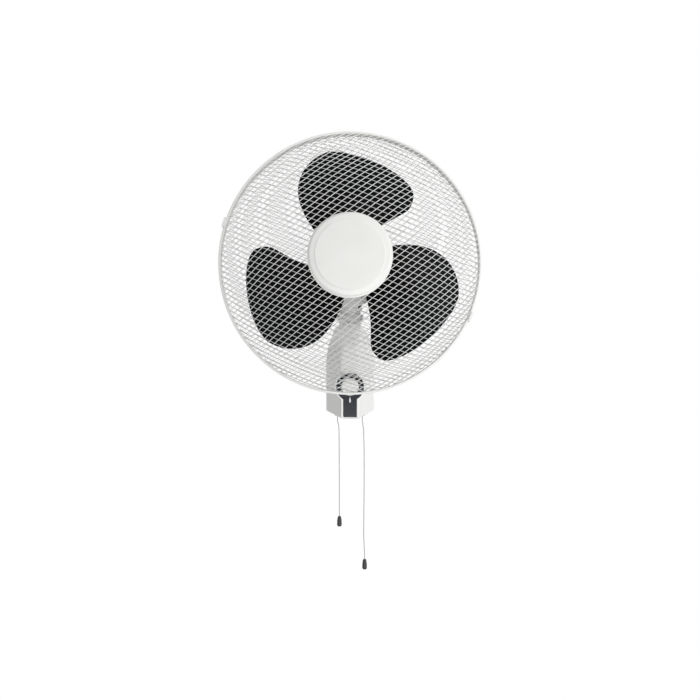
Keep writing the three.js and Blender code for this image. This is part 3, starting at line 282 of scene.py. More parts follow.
def solid(name, vertices, faces):
    """A closed mesh as an object, from points in millimetres."""
    mesh = bpy.data.meshes.new(name)
    mesh.from_pydata([tuple(v * MM) for v in vertices], [], faces)
    made = bpy.data.objects.new(name, mesh)
    bpy.context.scene.collection.objects.link(made)
    clean(mesh)
    return made


def clean(mesh):
    """Joins points that coincide and turns all faces outward."""
    shell = bmesh.new()
    shell.from_mesh(mesh)
    bmesh.ops.remove_doubles(shell, verts=shell.verts, dist=WELD)
    bmesh.ops.recalc_face_normals(shell, faces=shell.faces)
    if shell.calc_volume(signed=True) < 0:
        bmesh.ops.reverse_faces(shell, faces=shell.faces)
    shell.to_mesh(mesh)
    shell.free()


def finish_piece(piece, material, body, replaces=(), smooth_angle=SMOOTH, carved=False):
    """Gives a piece its material and body; carved pieces keep their large faces flat in shading."""
    mesh = piece.data
    clean(mesh)
    mesh.materials.clear()
    mesh.materials.append(MATERIALS[material])
    shade(mesh, smooth_angle)
    if carved:
        even = piece.modifiers.new("even", "WEIGHTED_NORMAL")
        even.keep_sharp = True
        apply_modifiers(piece)
    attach(piece, body)
    if replaces:
        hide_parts(*replaces)
    return piece


def shade(mesh, angle):
    """Smooth shading, with sharp edges where the surface turns more than angle degrees."""
    for face in mesh.polygons:
        face.use_smooth = True
    mesh.set_sharp_from_angle(angle=math.radians(angle))


def softened(piece, width, segments=3, angle=50):
    """Rounds the edges that turn more than angle degrees, and keeps the flats flat."""
    bevel = piece.modifiers.new("edges", "BEVEL")
    bevel.width = width * MM
    bevel.segments = segments
    bevel.limit_method = "ANGLE"
    bevel.angle_limit = math.radians(angle)
    bevel.harden_normals = True
    apply_modifiers(piece)
    shade(piece.data, SMOOTH)


def apply_modifiers(piece):
    graph = bpy.context.evaluated_depsgraph_get()
    made = bpy.data.meshes.new_from_object(piece.evaluated_get(graph))
    piece.modifiers.clear()
    old = piece.data
    piece.data = made
    bpy.data.meshes.remove(old)


def combine(target, tools, operation):
    """Joins tools to target or cuts them out of it, and removes them."""
    for tool in tools:
        cut = target.modifiers.new("cut", "BOOLEAN")
        cut.operation = operation
        cut.solver = "MANIFOLD"
        cut.object = tool
    apply_modifiers(target)
    for tool in tools:
        bpy.data.objects.remove(tool)
    return target


def ring_faces(rows, count, closed=False):
    """Faces between rows of count points each; closed joins the last row to the first."""
    faces = []
    for r in range(rows if closed else rows - 1):
        here, there = r * count, (r + 1) % rows * count
        for k in range(count):
            after = (k + 1) % count
            faces.append((here + k, here + after, there + after, there + k))
    return faces


def capped_faces(rows, count):
    """Faces between rows of points, with a cap on the first row and on the last."""
    first, last = range(count), range((rows - 1) * count, rows * count)
    return [*ring_faces(rows, count), tuple(reversed(first)), tuple(last)]


def turned(name, profile, centre, axis, steps=96):
    """Solid turned from a closed profile of (radius, place along the axis)."""
    centre = Vector(centre)
    side = ALONG_X if abs(axis.x) < 0.9 else ALONG_Y
    up = axis.cross(side).normalized()
    side = up.cross(axis).normalized()
    vertices = []
    for k in range(steps):
        turn = 2 * math.pi * k / steps
        out = side * math.cos(turn) + up * math.sin(turn)
        vertices += [centre + axis * along + out * radius for radius, along in profile]
    count = len(profile)
    on_axis = [radius == 0 for radius, along in profile]
    faces = [face for face in ring_faces(steps, count, closed=True)
             if not (on_axis[face[0] % count] and on_axis[face[1] % count])]
    return solid(name, vertices, faces)


def lathe(name, profile, centre, axis, material, body, replaces, steps=96, smooth_angle=SMOOTH):
    """Finished piece turned from a profile."""
    piece = turned(name, profile, centre, axis, steps)
    return finish_piece(piece, material, body, replaces, smooth_angle)


def fillet(points, radius=0, steps=5):
    """Rounds the corners of a closed outline of (u, v), or of (u, v, radius of that corner)."""
    straight = math.radians(88)
    made = []
    count = len(points)
    for i, (u, v, *own) in enumerate(points):
        r = own[0] if own else radius
        here = Vector((u, v))
        last = Vector(points[(i - 1) % count][:2]) - here
        following = Vector(points[(i + 1) % count][:2]) - here
        half = last.angle(following) / 2
        if r <= 0 or half > straight:
            made.append((u, v))
            continue
        reach = min(r / math.tan(half), 0.49 * last.length, 0.49 * following.length)
        r = reach * math.tan(half)
        a, b = here + last.normalized() * reach, here + following.normalized() * reach
        middle = (last.normalized() + following.normalized()).normalized()
        centre = here + middle * (r / math.sin(half))
        start, end = a - centre, b - centre
        sweep = start.angle_signed(end)
        for k in range(steps + 1):
            spoke = start.copy()
            spoke.rotate(Matrix.Rotation(-sweep * k / steps, 2))
            made.append(tuple(centre + spoke))
    return made


def spline(points, t):
    """Point at t, from 0 to 1, on a Catmull-Rom curve through points of any size."""
    place = t * (len(points) - 1)
    i = min(int(place), len(points) - 2)
    f = place - i
    p0, p1 = points[max(i - 1, 0)], points[i]
    p2, p3 = points[i + 1], points[min(i + 2, len(points) - 1)]
    made = []
    for a, b, c, d in zip(p0, p1, p2, p3):
        m0, m1 = (c - a) / 2, (d - b) / 2
        made.append(
            b + m0 * f + (3 * (c - b) - 2 * m0 - m1) * f**2 + (m0 + m1 - 2 * (c - b)) * f**3
        )
    return made


def swept(name, paths, radius, sides):
    """Round wires along paths that never run along Y, as one object."""
    vertices, faces = [], []
    for path in paths:
        first = len(vertices)
        for i, p in enumerate(path):
            along = (path[min(i + 1, len(path) - 1)] - path[max(i - 1, 0)]).normalized()
            side = along.cross(ALONG_Y).normalized()
            up = side.cross(along)
            for k in range(sides):
                turn = 2 * math.pi * k / sides
                vertices.append(p + radius * (math.cos(turn) * side + math.sin(turn) * up))
        faces += [tuple(first + k for k in face) for face in capped_faces(len(path), sides)]
    return solid(name, vertices, faces)


def prism(name, outline, axis, start, end):
    """Solid between two places along an axis, from an outline in the other two axes."""
    order = {"x": (2, 0, 1), "y": (0, 2, 1), "z": (0, 1, 2)}[axis]
    vertices = []
    for place in (start, end):
        for u, v in outline:
            found = (u, v, place)
            vertices.append(Vector([found[k] for k in order]))
    return solid(name, vertices, capped_faces(2, len(outline)))


def circle(u, v, radius, steps=64):
    turns = [2 * math.pi * k / steps for k in range(steps)]
    return [(u + radius * math.cos(t), v + radius * math.sin(t)) for t in turns]


def rectangle(u0, u1, v0, v1):
    return [(u0, v0), (u1, v0), (u1, v1), (u0, v1)]


# ------------------------------------------------------------------ grilles
RIM_R = 215
RIM_Y = -245          # plane where the two hoops meet
HOOP_BAR = 4.2        # radial thickness of each hoop
HOOP_DEPTH = 7.8
HOOP_ROUND = 2.6
HOOP_OFFSET = 0.15    # from the plane to each hoop
WIRE_SEAT = 6         # from the plane to the wires' ends
WIRE_PITCH = 8.6      # on the flat sheet, before it is pressed over the dome
WIRE_RISE = math.radians(38.7)
WIRE_FALL = math.radians(-22.3)
RISING_WIRE_R = 0.56
FALLING_WIRE_R = 0.5
WIRE_SIDES = 6
WIRE_STEP = 8         # between the points along a wire
LEAST_STEPS = 6       # of the shortest wire
WIRE_LAP = 2          # how far the wires run in under the centre plate
RIM_MARGIN = 2        # a wire whose middle lies nearer to the rim than this is left out
FRONT_BULGE, FRONT_FULLNESS = 72, 3
REAR_BULGE, REAR_FULLNESS = 69, 4
HUB_PLATE_R, HUB_PLATE_BORE = 66, 12
REAR_PLATE_R, REAR_PLATE_BORE = 62, BOSS_R + GAP
PLATE = 3.6           # thickness of both centre plates
MESH_EDGE = RIM_R - HOOP_BAR + 1      # the wires end 1 mm inside the hoop
SHEET_STEPS = 200
SHEET_STEP = MESH_EDGE / SHEET_STEPS


def dome(hoop_y, centre_y, fullness):
    """Place along Y at each radius of a dome, which is flat in the middle and steep at the rim."""
    return lambda r: centre_y + (hoop_y - centre_y) * min(r / MESH_EDGE, 1) ** fullness


def sheet_lengths(surface):
    """Lengths along a dome, from its middle out to evenly spaced radii."""
    lengths = [0]
    for k in range(SHEET_STEPS):
        drop = surface((k + 1) * SHEET_STEP) - surface(k * SHEET_STEP)
        lengths.append(lengths[-1] + math.hypot(SHEET_STEP, drop))
    return lengths


def pressed(lengths, flat):
    """Where a point of the flat mesh lies once it is pressed over the dome, seen along its axis."""
    reach = min(flat.length, lengths[-1])
    k = max(bisect.bisect_left(lengths, reach), 1)
    part = (reach - lengths[k - 1]) / (lengths[k] - lengths[k - 1])
    return flat.normalized() * SHEET_STEP * (k - 1 + part)


def mesh_wires(surface, angle, plate_edge, lift):
    """Paths of one family of wires pressed over a dome, open over the centre plate."""
    along = Vector((math.cos(angle), math.sin(angle)))
    across = Vector((-along.y, along.x))
    lengths = sheet_lengths(surface)
    edge = lengths[-1]
    inner = lengths[round(plate_edge / SHEET_STEP)]
    count = int(edge / WIRE_PITCH)
    paths = []
    for k in range(-count, count + 1):
        offset = (k + 0.5) * WIRE_PITCH
        if abs(offset) > edge - RIM_MARGIN:
            continue
        reach = math.sqrt(edge**2 - offset**2)
        gap = math.sqrt(inner**2 - offset**2) if abs(offset) < inner else None
        spans = [(-reach, -gap), (gap, reach)] if gap else [(-reach, reach)]
        for start, end in spans:
            steps = max(LEAST_STEPS, int((end - start) / WIRE_STEP))
            path = []
            for i in range(steps + 1):
                flat = along * (start + (end - start) * i / steps) + across * offset
                spot = pressed(lengths, flat)
                path.append(Vector((spot.x, surface(spot.length) + lift, spot.y + AXIS.z)))
            paths.append(path)
    return paths


def make_grille(node, outward, bulge, fullness, plate_r, bore):
    """Mesh, hoop and centre plate; outward is -1 for the front grille and 1 for the rear one."""
    seat = RIM_Y + outward * WIRE_SEAT
    surface = dome(seat, seat + outward * bulge, fullness)
    rising = mesh_wires(surface, WIRE_RISE, plate_r - WIRE_LAP, outward * RISING_WIRE_R)
    falling = mesh_wires(surface, WIRE_FALL, plate_r - WIRE_LAP, -outward * FALLING_WIRE_R)
    rising = swept(node + "_rising_wires", rising, RISING_WIRE_R, WIRE_SIDES)
    finish_piece(rising, "white_wire", "head", [node], smooth_angle=80)
    falling = swept(node + "_falling_wires", falling, FALLING_WIRE_R, WIRE_SIDES)
    finish_piece(falling, "shaded_wire", "head", [node], smooth_angle=80)
    near, far = sorted((RIM_Y + outward * HOOP_OFFSET, RIM_Y + outward * HOOP_DEPTH))
    hoop = fillet(rectangle(RIM_R - HOOP_BAR, RIM_R, near, far), HOOP_ROUND, 8)
    lathe(node + "_hoop", hoop, HUB, ALONG_Y, "white_plastic", "head", [node], steps=160)
    middle = surface(plate_r)
    plate = fillet(rectangle(bore, plate_r, middle - PLATE / 2, middle + PLATE / 2), 1)
    lathe(node + "_plate", plate, HUB, ALONG_Y, "white_plastic", "head", [node])


# ------------------------------------------------------------------ centre cap
CAP_FACE_R = 54.5


def make_badge():
    """Bare centre cap: a flat disc, a groove round it and a sloping border, hollow behind."""
    low, high = node_box("hub_badge")
    radius = (high.x - low.x) / 2
    face, back = low.y, high.y
    inner, groove = CAP_FACE_R, face + 1.8
    profile = [
        (0, face + 0.2), (inner - 0.8, face + 0.8, 0.6), (inner, groove, 0.3), (inner + 0.8, groove, 0.3),
        (radius - 2.2, face + 3, 1.5), (radius, face + 4.8, 1.2), (radius, back, 0.4),
        (radius - 3, back, 0.4), (inner - 2, face + 4.5), (0, face + 4),
    ]
    lathe("centre_cap", fillet(profile), HUB, ALONG_Y, "white_plastic", "head", ["hub_badge"],
          steps=128, smooth_angle=35)


# ------------------------------------------------------------------ rotor
BLADES = 3
# The two edges of a blade from its root to its tip, as (degrees, radius).
LEADING = [(62, 34), (52, 91), (45.5, 132), (46.3, 153), (53, 170.5), (76, 178.5), (96, 186)]
TRAILING = [(146, 34), (137, 90), (130.5, 125), (124, 149.5), (117, 167), (110, 179), (103.5, 186)]
BLADE_THICK = 2.6
BLADE_ADVANCE = 44    # along the axis for each radian of sweep
ADVANCE_R = 90        # from this radius on the advance is whole; it is half at the axis
BLADE_CAMBER = 5
CAMBER_R = 120        # from this radius on the camber is whole
TIP_THINNING = 0.25
EDGE_POWER = 12       # how square a blade's cross section is towards its edges
TIP_ROUNDING = 14     # the last fourteenth of the blade rounds off
TIP_LEAST = 0.0001    # keeps the tip's last section from closing up
BLADE_CUTS, BLADE_SPANS = 28, 64
HUB_FRONT, HUB_BACK, HUB_R = -256, -190, 38
HUB_WALL = 3
HUB_FLOOR = 12
HUB_CORE_R = 9


def blade_ring(t):
    """Cross section of a blade at t, from 0 at its root to 1 at its tip."""
    lead, trail = spline(LEADING, t), spline(TRAILING, t)
    upper, lower = [], []
    for k in range(BLADE_CUTS + 1):
        f = 0.5 - 0.5 * math.cos(math.pi * k / BLADE_CUTS)
        sweep = math.radians(lead[0] + (trail[0] - lead[0]) * f)
        radius = lead[1] + (trail[1] - lead[1]) * f
        camber = BLADE_CAMBER * math.sin(math.pi * f) * min(1, radius / CAMBER_R)
        advance = BLADE_ADVANCE * min(1, 0.5 + 0.5 * radius / ADVANCE_R)
        y = AXIS.y - advance * (sweep - math.pi / 2) - camber
        edge = math.sqrt(max(0.0, 1 - abs(2 * f - 1) ** EDGE_POWER))
        tip = min(1, (1 - t + TIP_LEAST) * TIP_ROUNDING) ** 0.5
        thick = BLADE_THICK * edge * (1 - TIP_THINNING * t) * tip / 2
        x, z = radius * math.cos(sweep), radius * math.sin(sweep)
        upper.append(Vector((x, y - thick, z)))
        lower.insert(0, Vector((x, y + thick, z)))
    return upper + lower[1:-1]


def make_rotor():
    """Three blades round a hub that is open behind."""
    rings = [blade_ring(k / BLADE_SPANS) for k in range(BLADE_SPANS + 1)]
    faces = capped_faces(len(rings), len(rings[0]))
    for blade in range(BLADES):
        turn = Matrix.Rotation(2 * math.pi * blade / BLADES, 3, "Y")
        placed = [turn @ v + HUB for ring in rings for v in ring]
        piece = solid(f"blade_{blade + 1}", placed, faces)
        finish_piece(piece, "smoked_plastic", "rotor", ["fan_blade"], smooth_angle=60)
    bore, inside = SHAFT_R + GAP, HUB_R - HUB_WALL
    floor, core_back = HUB_FRONT + HUB_FLOOR, HUB_BACK + 4
    profile = [
        (bore, HUB_FRONT, 1), (HUB_R, HUB_FRONT, 9), (HUB_R, HUB_BACK, 0.8), (inside, HUB_BACK, 0.8),
        (inside, floor, 4), (HUB_CORE_R, floor, 2), (HUB_CORE_R, core_back, 1), (bore, core_back, 1),
    ]
    lathe("rotor_hub", fillet(profile), HUB, ALONG_Y, "smoked_plastic", "rotor", ["fan_blade"])


# ------------------------------------------------------------------ base housing
BACK_Y = -2.6         # the open back stands this far off the wall
DEPTH = 70
HALF_BACK, HALF_FRONT = 48.4, 17
FOOT_BACK, FOOT_FRONT = -98, -111
PIVOT_Y = PIVOT.y
WALL = 2.4
SIDE_INSET = 1.1      # the sides slope, so the wall is a little more across them
LEAST_ROUND = 0.6     # least corner radius of the hollow
# Sections from the foot to the neck: back point y and z, front point y and z, half width at
# the back and the front, corner radius at the back and the front.
SECTIONS = [
    (BACK_Y, FOOT_BACK, 3 - DEPTH, FOOT_FRONT, HALF_BACK - 3, HALF_FRONT - 3, 2, 5),
    (BACK_Y, FOOT_BACK + 1.2, 0.9 - DEPTH, FOOT_FRONT + 1, HALF_BACK - 0.9, HALF_FRONT - 0.9, 2.6, 5.6),
    (BACK_Y, FOOT_BACK + 4, -DEPTH, FOOT_FRONT + 3.4, HALF_BACK, HALF_FRONT, 3, 6),
    (BACK_Y, FOOT_BACK + 40, -DEPTH - 1, -64, HALF_BACK, HALF_FRONT, 3, 6),
    (BACK_Y, 0, -DEPTH - 2, -12, HALF_BACK, HALF_FRONT + 0.5, 3, 6),
    (BACK_Y, 32, -DEPTH - 5, 2, HALF_BACK - 4, HALF_FRONT + 1, 5, 7),
    (BACK_Y, 52, -DEPTH - 11, 14, HALF_BACK - 11, HALF_FRONT + 1, 8, 9),
    (-18, 65, -DEPTH - 21, 25, HALF_BACK - 15.4, HALF_FRONT + 1, 13, 12),
    (-48, 70, -DEPTH - 36, 34, HALF_BACK - 21.4, HALF_FRONT + 1, 15, 14),
    (-82, 70, PIVOT_Y + 12, 40, EAR_HALF + 4, EAR_HALF - 0.5, 15, 14),
    (-108, 68, PIVOT_Y - 6, 46, EAR_HALF + 1.5, EAR_HALF - 0.5, 12, 12),
    (PIVOT_Y + EAR_HALF, 63, PIVOT_Y - EAR_HALF, 60, EAR_HALF, EAR_HALF, 17, 17),
]
FOOT_SECTIONS = 4     # the first sections are joined straight, the rest by a curve
CURVE_STEPS = 40


def base_ring(section, inset):
    """Outline of one section, drawn in by inset on all sides."""
    yb, zb, yf, zf, half_back, half_front, round_back, round_front = section
    back, front = Vector((yb, zb)), Vector((yf, zf))
    along = (front - back).normalized()
    back += along * inset
    front -= along * inset
    depth = (front - back).length
    hb, hf = half_back - inset * SIDE_INSET, half_front - inset * SIDE_INSET
    rb, rf = max(round_back - inset, LEAST_ROUND), max(round_front - inset, LEAST_ROUND)
    outline = fillet([(-hb, 0, rb), (hb, 0, rb), (hf, depth, rf), (-hf, depth, rf)], steps=6)
    return [Vector((u, min(back.x + along.x * v, BACK_Y), back.y + along.y * v)) for u, v in outline]


def base_loft(name, inset):
    """Closed loft through the sections; inset gives the hollow inside."""
    curved = SECTIONS[FOOT_SECTIONS - 1:]
    stops = SECTIONS[:FOOT_SECTIONS]
    stops += [spline(curved, (k + 1) / CURVE_STEPS) for k in range(CURVE_STEPS)]
    rings = [base_ring(section, inset) for section in stops]
    # The hollow also keeps a floor in the foot, and solid ears at the end of the arm.
    lift = Vector((0, 0, inset))
    for i in range(FOOT_SECTIONS - 1):
        rings[i] = [p + lift for p in rings[i]]
    rings[-1] = [p - 2 * lift for p in rings[-1]]
    return solid(name, [v for ring in rings for v in ring], capped_faces(len(rings), len(rings[0])))


DIAL_R, DIAL_STEM_R = 16.2, 3
DIAL_ROOM = 0.5       # round the dial, in the panel
PANEL_RING_R = 26.2
PANEL_STRIP = 12.8    # half width of the strip under the ring
PANEL_WAIST = 3       # radius that joins the ring to the strip
RING_BORDER = 2.5     # white edge left round the dark panel
STRIP_BORDER = 3.9
PLATEAU_BACK, PLATEAU_FRONT = 14 - DEPTH, -DEPTH - 3
PLATEAU_FOOT = FOOT_FRONT + 1
BORDER_FRONT = node_box("front_panel")[0].y + 0.1
EAR_FOOT = 58
BACK_RIM = 4          # left round the opening of the base's back
OPENING_SHOULDER, OPENING_TOP = 4, 44
OPENING_TAPER = 10    # how much narrower the opening is at its top, on each side
COVER_SEAT = -6.5     # how deep the back cover sits
# Where the cuts that pass right through start and end.
ACROSS_PANEL = (-90, -60)
ACROSS_FOOT = (-125, -90)
ACROSS_EARS = (-30, 30)
ABOVE_ARM = 110


def keyhole(radius, half, foot, steps=72, waist_steps=8):
    """Outline in x and z of a disc with a strip hanging from it, blended at the waist."""
    spread, side = radius + PANEL_WAIST, half + PANEL_WAIST
    drop = math.sqrt(spread**2 - side**2)
    join = math.atan2(-drop, side)
    outline = []
    for k in range(steps + 1):
        t = join + (math.pi - 2 * join) * k / steps
        outline.append((radius * math.cos(t), DIAL.z + radius * math.sin(t)))
    left = []
    for k in range(waist_steps + 1):
        t = -join * (1 - k / waist_steps)
        left.append((-side + PANEL_WAIST * math.cos(t), DIAL.z - drop + PANEL_WAIST * math.sin(t)))
    chamfered = [(-half, foot + 1), (1 - half, foot), (half - 1, foot), (half, foot + 1)]
    return outline + left + chamfered + [(-x, z) for x, z in reversed(left)]


def make_base():
    """Base and arm in one shell: the loft, the raised keyhole and the ears, hollowed and bored."""
    outer = base_loft("base_shell", 0)
    ring, strip = PANEL_RING_R + RING_BORDER, PANEL_STRIP + STRIP_BORDER
    plateau = prism("plateau", keyhole(ring, strip, PLATEAU_FOOT), "y", PLATEAU_BACK, BORDER_FRONT)
    softened(plateau, 0.8)
    seat = keyhole(PANEL_RING_R + GAP, PANEL_STRIP + GAP, FOOT_FRONT - 5)
    seat = prism("seat", seat, "y", PLATEAU_FRONT, BORDER_FRONT - 5)
    combine(plateau, [seat], "DIFFERENCE")
    ear = rectangle(PIVOT_Y - EAR_R, PIVOT_Y + EAR_R, EAR_FOOT, TILT.z)
    cheeks = prism("cheeks", ear, "x", -EAR_HALF, EAR_HALF)
    ears = prism("ears", circle(PIVOT_Y, TILT.z, EAR_R), "x", -EAR_HALF, EAR_HALF)
    combine(outer, [plateau, cheeks, ears], "UNION")

    hollow = base_loft("hollow", WALL)
    behind = keyhole(ring - WALL, strip - WALL, PLATEAU_FOOT + 3)
    behind = prism("behind", behind, "y", PLATEAU_BACK - 1, PLATEAU_FRONT + WALL)
    low, wide = FOOT_BACK + BACK_RIM + 1, HALF_BACK - BACK_RIM
    narrow = wide - OPENING_TAPER
    opening = [(-wide, low), (wide, low), (wide, OPENING_SHOULDER), (narrow, OPENING_TOP),
               (-narrow, OPENING_TOP), (-wide, OPENING_SHOULDER)]
    opening = prism("opening", fillet(opening, 4), "y", 1, COVER_SEAT)
    room = KNUCKLE_HALF + GAP
    slot = prism("slot", rectangle(-room, room, PIVOT_Y - 40, PIVOT_Y + 40), "z", TILT.z, ABOVE_ARM)
    barrel = prism("barrel", circle(PIVOT_Y, TILT.z, EAR_R), "x", -room, room)
    bolt = prism("bolt", circle(PIVOT_Y, TILT.z, TILT_BOLT_R + GAP, 32), "x", *ACROSS_EARS)
    stem = prism("stem", circle(0, DIAL.z, DIAL_STEM_R + 1, 32), "y", *ACROSS_PANEL)
    bushes = ((-CORD_X, CORD_Y, CORD_BUSH_R), (CORD_X, CORD_Y, CORD_BUSH_R), (0, GLAND_Y, GLAND_R))
    exits = [prism(f"exit_{x}", circle(x, y, r + GAP, 32), "z", *ACROSS_FOOT) for x, y, r in bushes]
    combine(outer, [hollow, behind, opening, slot, barrel, bolt, stem, *exits], "DIFFERENCE")
    finish_piece(outer, "brightened_white_plastic", "base", ["base_housing"], smooth_angle=32, carved=True)


POINTER_TOP, POINTER_FOOT = -69.5, -80.5
POINTER_HALF = 2.1
POINTER_POWER = 0.6   # how slowly the drop widens
POINTER_SUNK, POINTER_PROUD = 0.05, 0.12
POINTER_STEPS = 24


def make_panel():
    """Dark keyhole panel with a hole for the dial, and the pointer printed under it."""
    low, high = node_box("front_panel")
    panel = prism("keyhole_panel", keyhole(PANEL_RING_R, PANEL_STRIP, low.z), "y", high.y, low.y)
    softened(panel, 0.5)
    hole = prism("hole", circle(0, DIAL.z, DIAL_R + DIAL_ROOM, 96), "y", *ACROSS_PANEL)
    combine(panel, [hole], "DIFFERENCE")
    finish_piece(panel, "dark_panel", "base", ["front_panel"], smooth_angle=35, carved=True)
    drop = []
    for k in range(POINTER_STEPS + 1):
        t = math.pi * k / POINTER_STEPS
        down = 0.5 - 0.5 * math.cos(t)
        z = POINTER_TOP + (POINTER_FOOT - POINTER_TOP) * down
        drop.append((POINTER_HALF * math.sin(t) * down**POINTER_POWER, z))
    outline = drop + [(-x, z) for x, z in reversed(drop[1:-1])]
    pointer = prism("pointer", outline, "y", low.y + POINTER_SUNK, low.y - POINTER_PROUD)
    finish_piece(pointer, "white_plastic", "base", smooth_angle=35)


def make_dial():
    """Round dial, slightly dished, on its stem."""
    low, high = node_box("speed_dial")
    face, back, seat = low.y, high.y, node_box("front_panel")[1].y
    profile = [
        (0, face + 0.4), (DIAL_R - 4, face + 0.2, 1), (DIAL_R - 1, face + 0.3, 1.2),
        (DIAL_R, face + 1.2, 0.4), (DIAL_R, seat, 0.2), (DIAL_STEM_R, seat),
        (DIAL_STEM_R, back, 0.3), (0, back),
    ]
    lathe("dial", fillet(profile), (0, 0, DIAL.z), ALONG_Y, "white_plastic", "speed_dial", ["speed_dial"],
          smooth_angle=35)


# ------------------------------------------------------------------ pull cords
CORD_D = 1.8
CORD_KNOT_R = 2.2
CORD_STEPS = 80
KNOT_Z = node_box("speed_cord")[1].z - CORD_KNOT_R


def hung(side, route):
    """A cord's route from (outward shift, height)."""
    return [(side * (CORD_X + x), CORD_Y, z) for x, z in route]


SPEED_ROUTE = hung(-1, [
    (0, KNOT_Z), (0, -92), (0, -104), (0, -116), (-1.4, -123), (-2.7, -132), (-3.1, -170),
    (-3.4, -240), (-3.5, -309),
])
SWING_ROUTE = hung(1, [
    (0, KNOT_Z), (0, -92), (0, -104), (0, -116), (1.2, -125), (2.4, -137), (3.4, -180),
    (3.4, -240), (2.6, -330), (4, -368), (4.2, -380), (4.2, -392),
])


def make_cord(name, route, body, toggle_node):
    """Cord with the knot at its lever and the toggle on its end."""
    points = [Vector(spline(route, k / CORD_STEPS)) for k in range(CORD_STEPS + 1)]
    cord = swept(name + "_string", [points], CORD_D / 2, 12)
    finish_piece(cord, "string", body, [name], smooth_angle=80)
    low, high = node_box(toggle_node)
    centre = ((low.x + high.x) / 2, (low.y + high.y) / 2, 0)
    top, bottom, radius = high.z, low.z, (high.x - low.x) / 2
    bore, socket = CORD_D / 2 + GAP, top - 8.3
    profile = [
        (bore, top, 0.3), (2.6, top, 0.6), (3.6, top - 3, 2), (radius - 0.3, top - 8, 4),
        (radius, bottom + 2.5, 2), (radius - 1.4, bottom, 0.8), (0, bottom), (0, socket), (bore, socket),
    ]
    toggle = lathe(toggle_node + "_drum", fillet(profile), centre, ALONG_Z, "rubber", body, [toggle_node],
                   steps=48)
    turns = [math.pi * k / 16 for k in range(17)]
    ball = [(CORD_KNOT_R * math.sin(t), KNOT_Z + CORD_KNOT_R * math.cos(t)) for t in turns]
    x, y = route[0][:2]
    knot = lathe(name + "_knot", ball, (x, y, 0), ALONG_Z, "string", body, [name], steps=24)


# ------------------------------------------------------------------ clips, bushes and nuts
CLIP_ANGLES = {"rim_clip_left": 162, "rim_clip_right": -24}
CLIP_WIDTH = 16
CLIP_STEPS = 12
BUSH_FLANGE, BUSH_FLANGE_TALL = 1.4, 1.2
BUSH_BORE = 0.58      # share of the bush's neck


def make_clip(node, angle):
    """Moulded clip bent round both hoops, following the rim's curve."""
    seat = HOOP_DEPTH + GAP
    reach = seat + 1.8
    inner, outer, lip = RIM_R + GAP, RIM_R + GAP + 2.2, RIM_R - HOOP_BAR / 2
    profile = [(outer, -reach), (outer, reach), (lip, reach), (lip, seat), (inner, seat),
               (inner, -seat), (lip, -seat), (lip, -reach)]
    half = CLIP_WIDTH / 2 / RIM_R
    vertices = []
    for k in range(CLIP_STEPS + 1):
        turn = math.radians(angle) - half + 2 * half * k / CLIP_STEPS
        c, s = math.cos(turn), math.sin(turn)
        vertices += [HUB + Vector((r * c, RIM_Y + y, r * s)) for r, y in profile]
    clip = solid(node + "_body", vertices, capped_faces(CLIP_STEPS + 1, len(profile)))
    softened(clip, 0.6)
    finish_piece(clip, "white_plastic", "head", [node])


def make_bush(node):
    """Rubber bush with a flange under the base; the bore stays open."""
    low, high = node_box(node)
    outer = (high.x - low.x) / 2
    neck = outer - BUSH_FLANGE
    bore, step = neck * BUSH_BORE, low.z + BUSH_FLANGE_TALL
    profile = [(bore, low.z, 0.3), (outer, low.z, 0.6), (outer, step, 0.3), (neck, step),
               (neck, high.z, 0.3), (bore, high.z, 0.3)]
    centre = ((low.x + high.x) / 2, (low.y + high.y) / 2, 0)
    lathe(node + "_body", fillet(profile), centre, ALONG_Z, "rubber", "base", [node], steps=48)


def make_nuts():
    """Blade nut, and the large nut that holds the rear grille."""
    low, high = node_box("blade_nut")
    front, back, radius = low.y, high.y, (high.x - low.x) / 2
    bore, floor = SHAFT_R + 0.4, front + 4
    profile = [(0, front), (radius - 7, front, 1), (radius - 2, front + 5, 3), (radius, back, 0.5),
               (bore, back, 0.2), (bore, floor), (0, floor)]
    lathe("blade_nut_cap", fillet(profile), HUB, ALONG_Y, "smoked_plastic", "rotor", ["blade_nut"],
          steps=72)
    low, high = node_box("grille_nut")
    front, back, radius = low.y, high.y, (high.x - low.x) / 2
    bore = BOSS_R + GAP
    profile = [(bore, back, 0.4), (radius, back, 0.8), (radius, back - 4.7, 1), (radius - 6, front, 1),
               (bore, front, 0.4)]
    lathe("grille_nut_ring", fillet(profile), HUB, ALONG_Y, "nylon", "head", ["grille_nut"])


# ------------------------------------------------------------------ motor cover
COVER_R, COVER_WALL, COVER_BACK = 52, 2.2, -80
COVER_EDGE, COVER_CURVE = 28, 26      # radial and axial reach of the rounding at its back
COVER_STEPS = 18
BELLY_HALF = 22.2     # the belly under the cover holds the pivot and the swing drive
BELLY_FRONT = PIVOT_Y + NECK_R + 1.2
VENT_SLOTS = 10
VENT_NEAR, VENT_FAR, VENT_HALF = COVER_R - 38, COVER_R - 20, 1.6
VENT_STEPS = 8        # round each end of a vent
COVER_BOSS_R, COVER_BOSS_FRONT = 8, -90.7
COVER_SCREW_R, COVER_SCREW_HEAD = 2, 2.2
SCREW_SLOT_HALF, SCREW_SLOT_DEEP = 0.45, 1


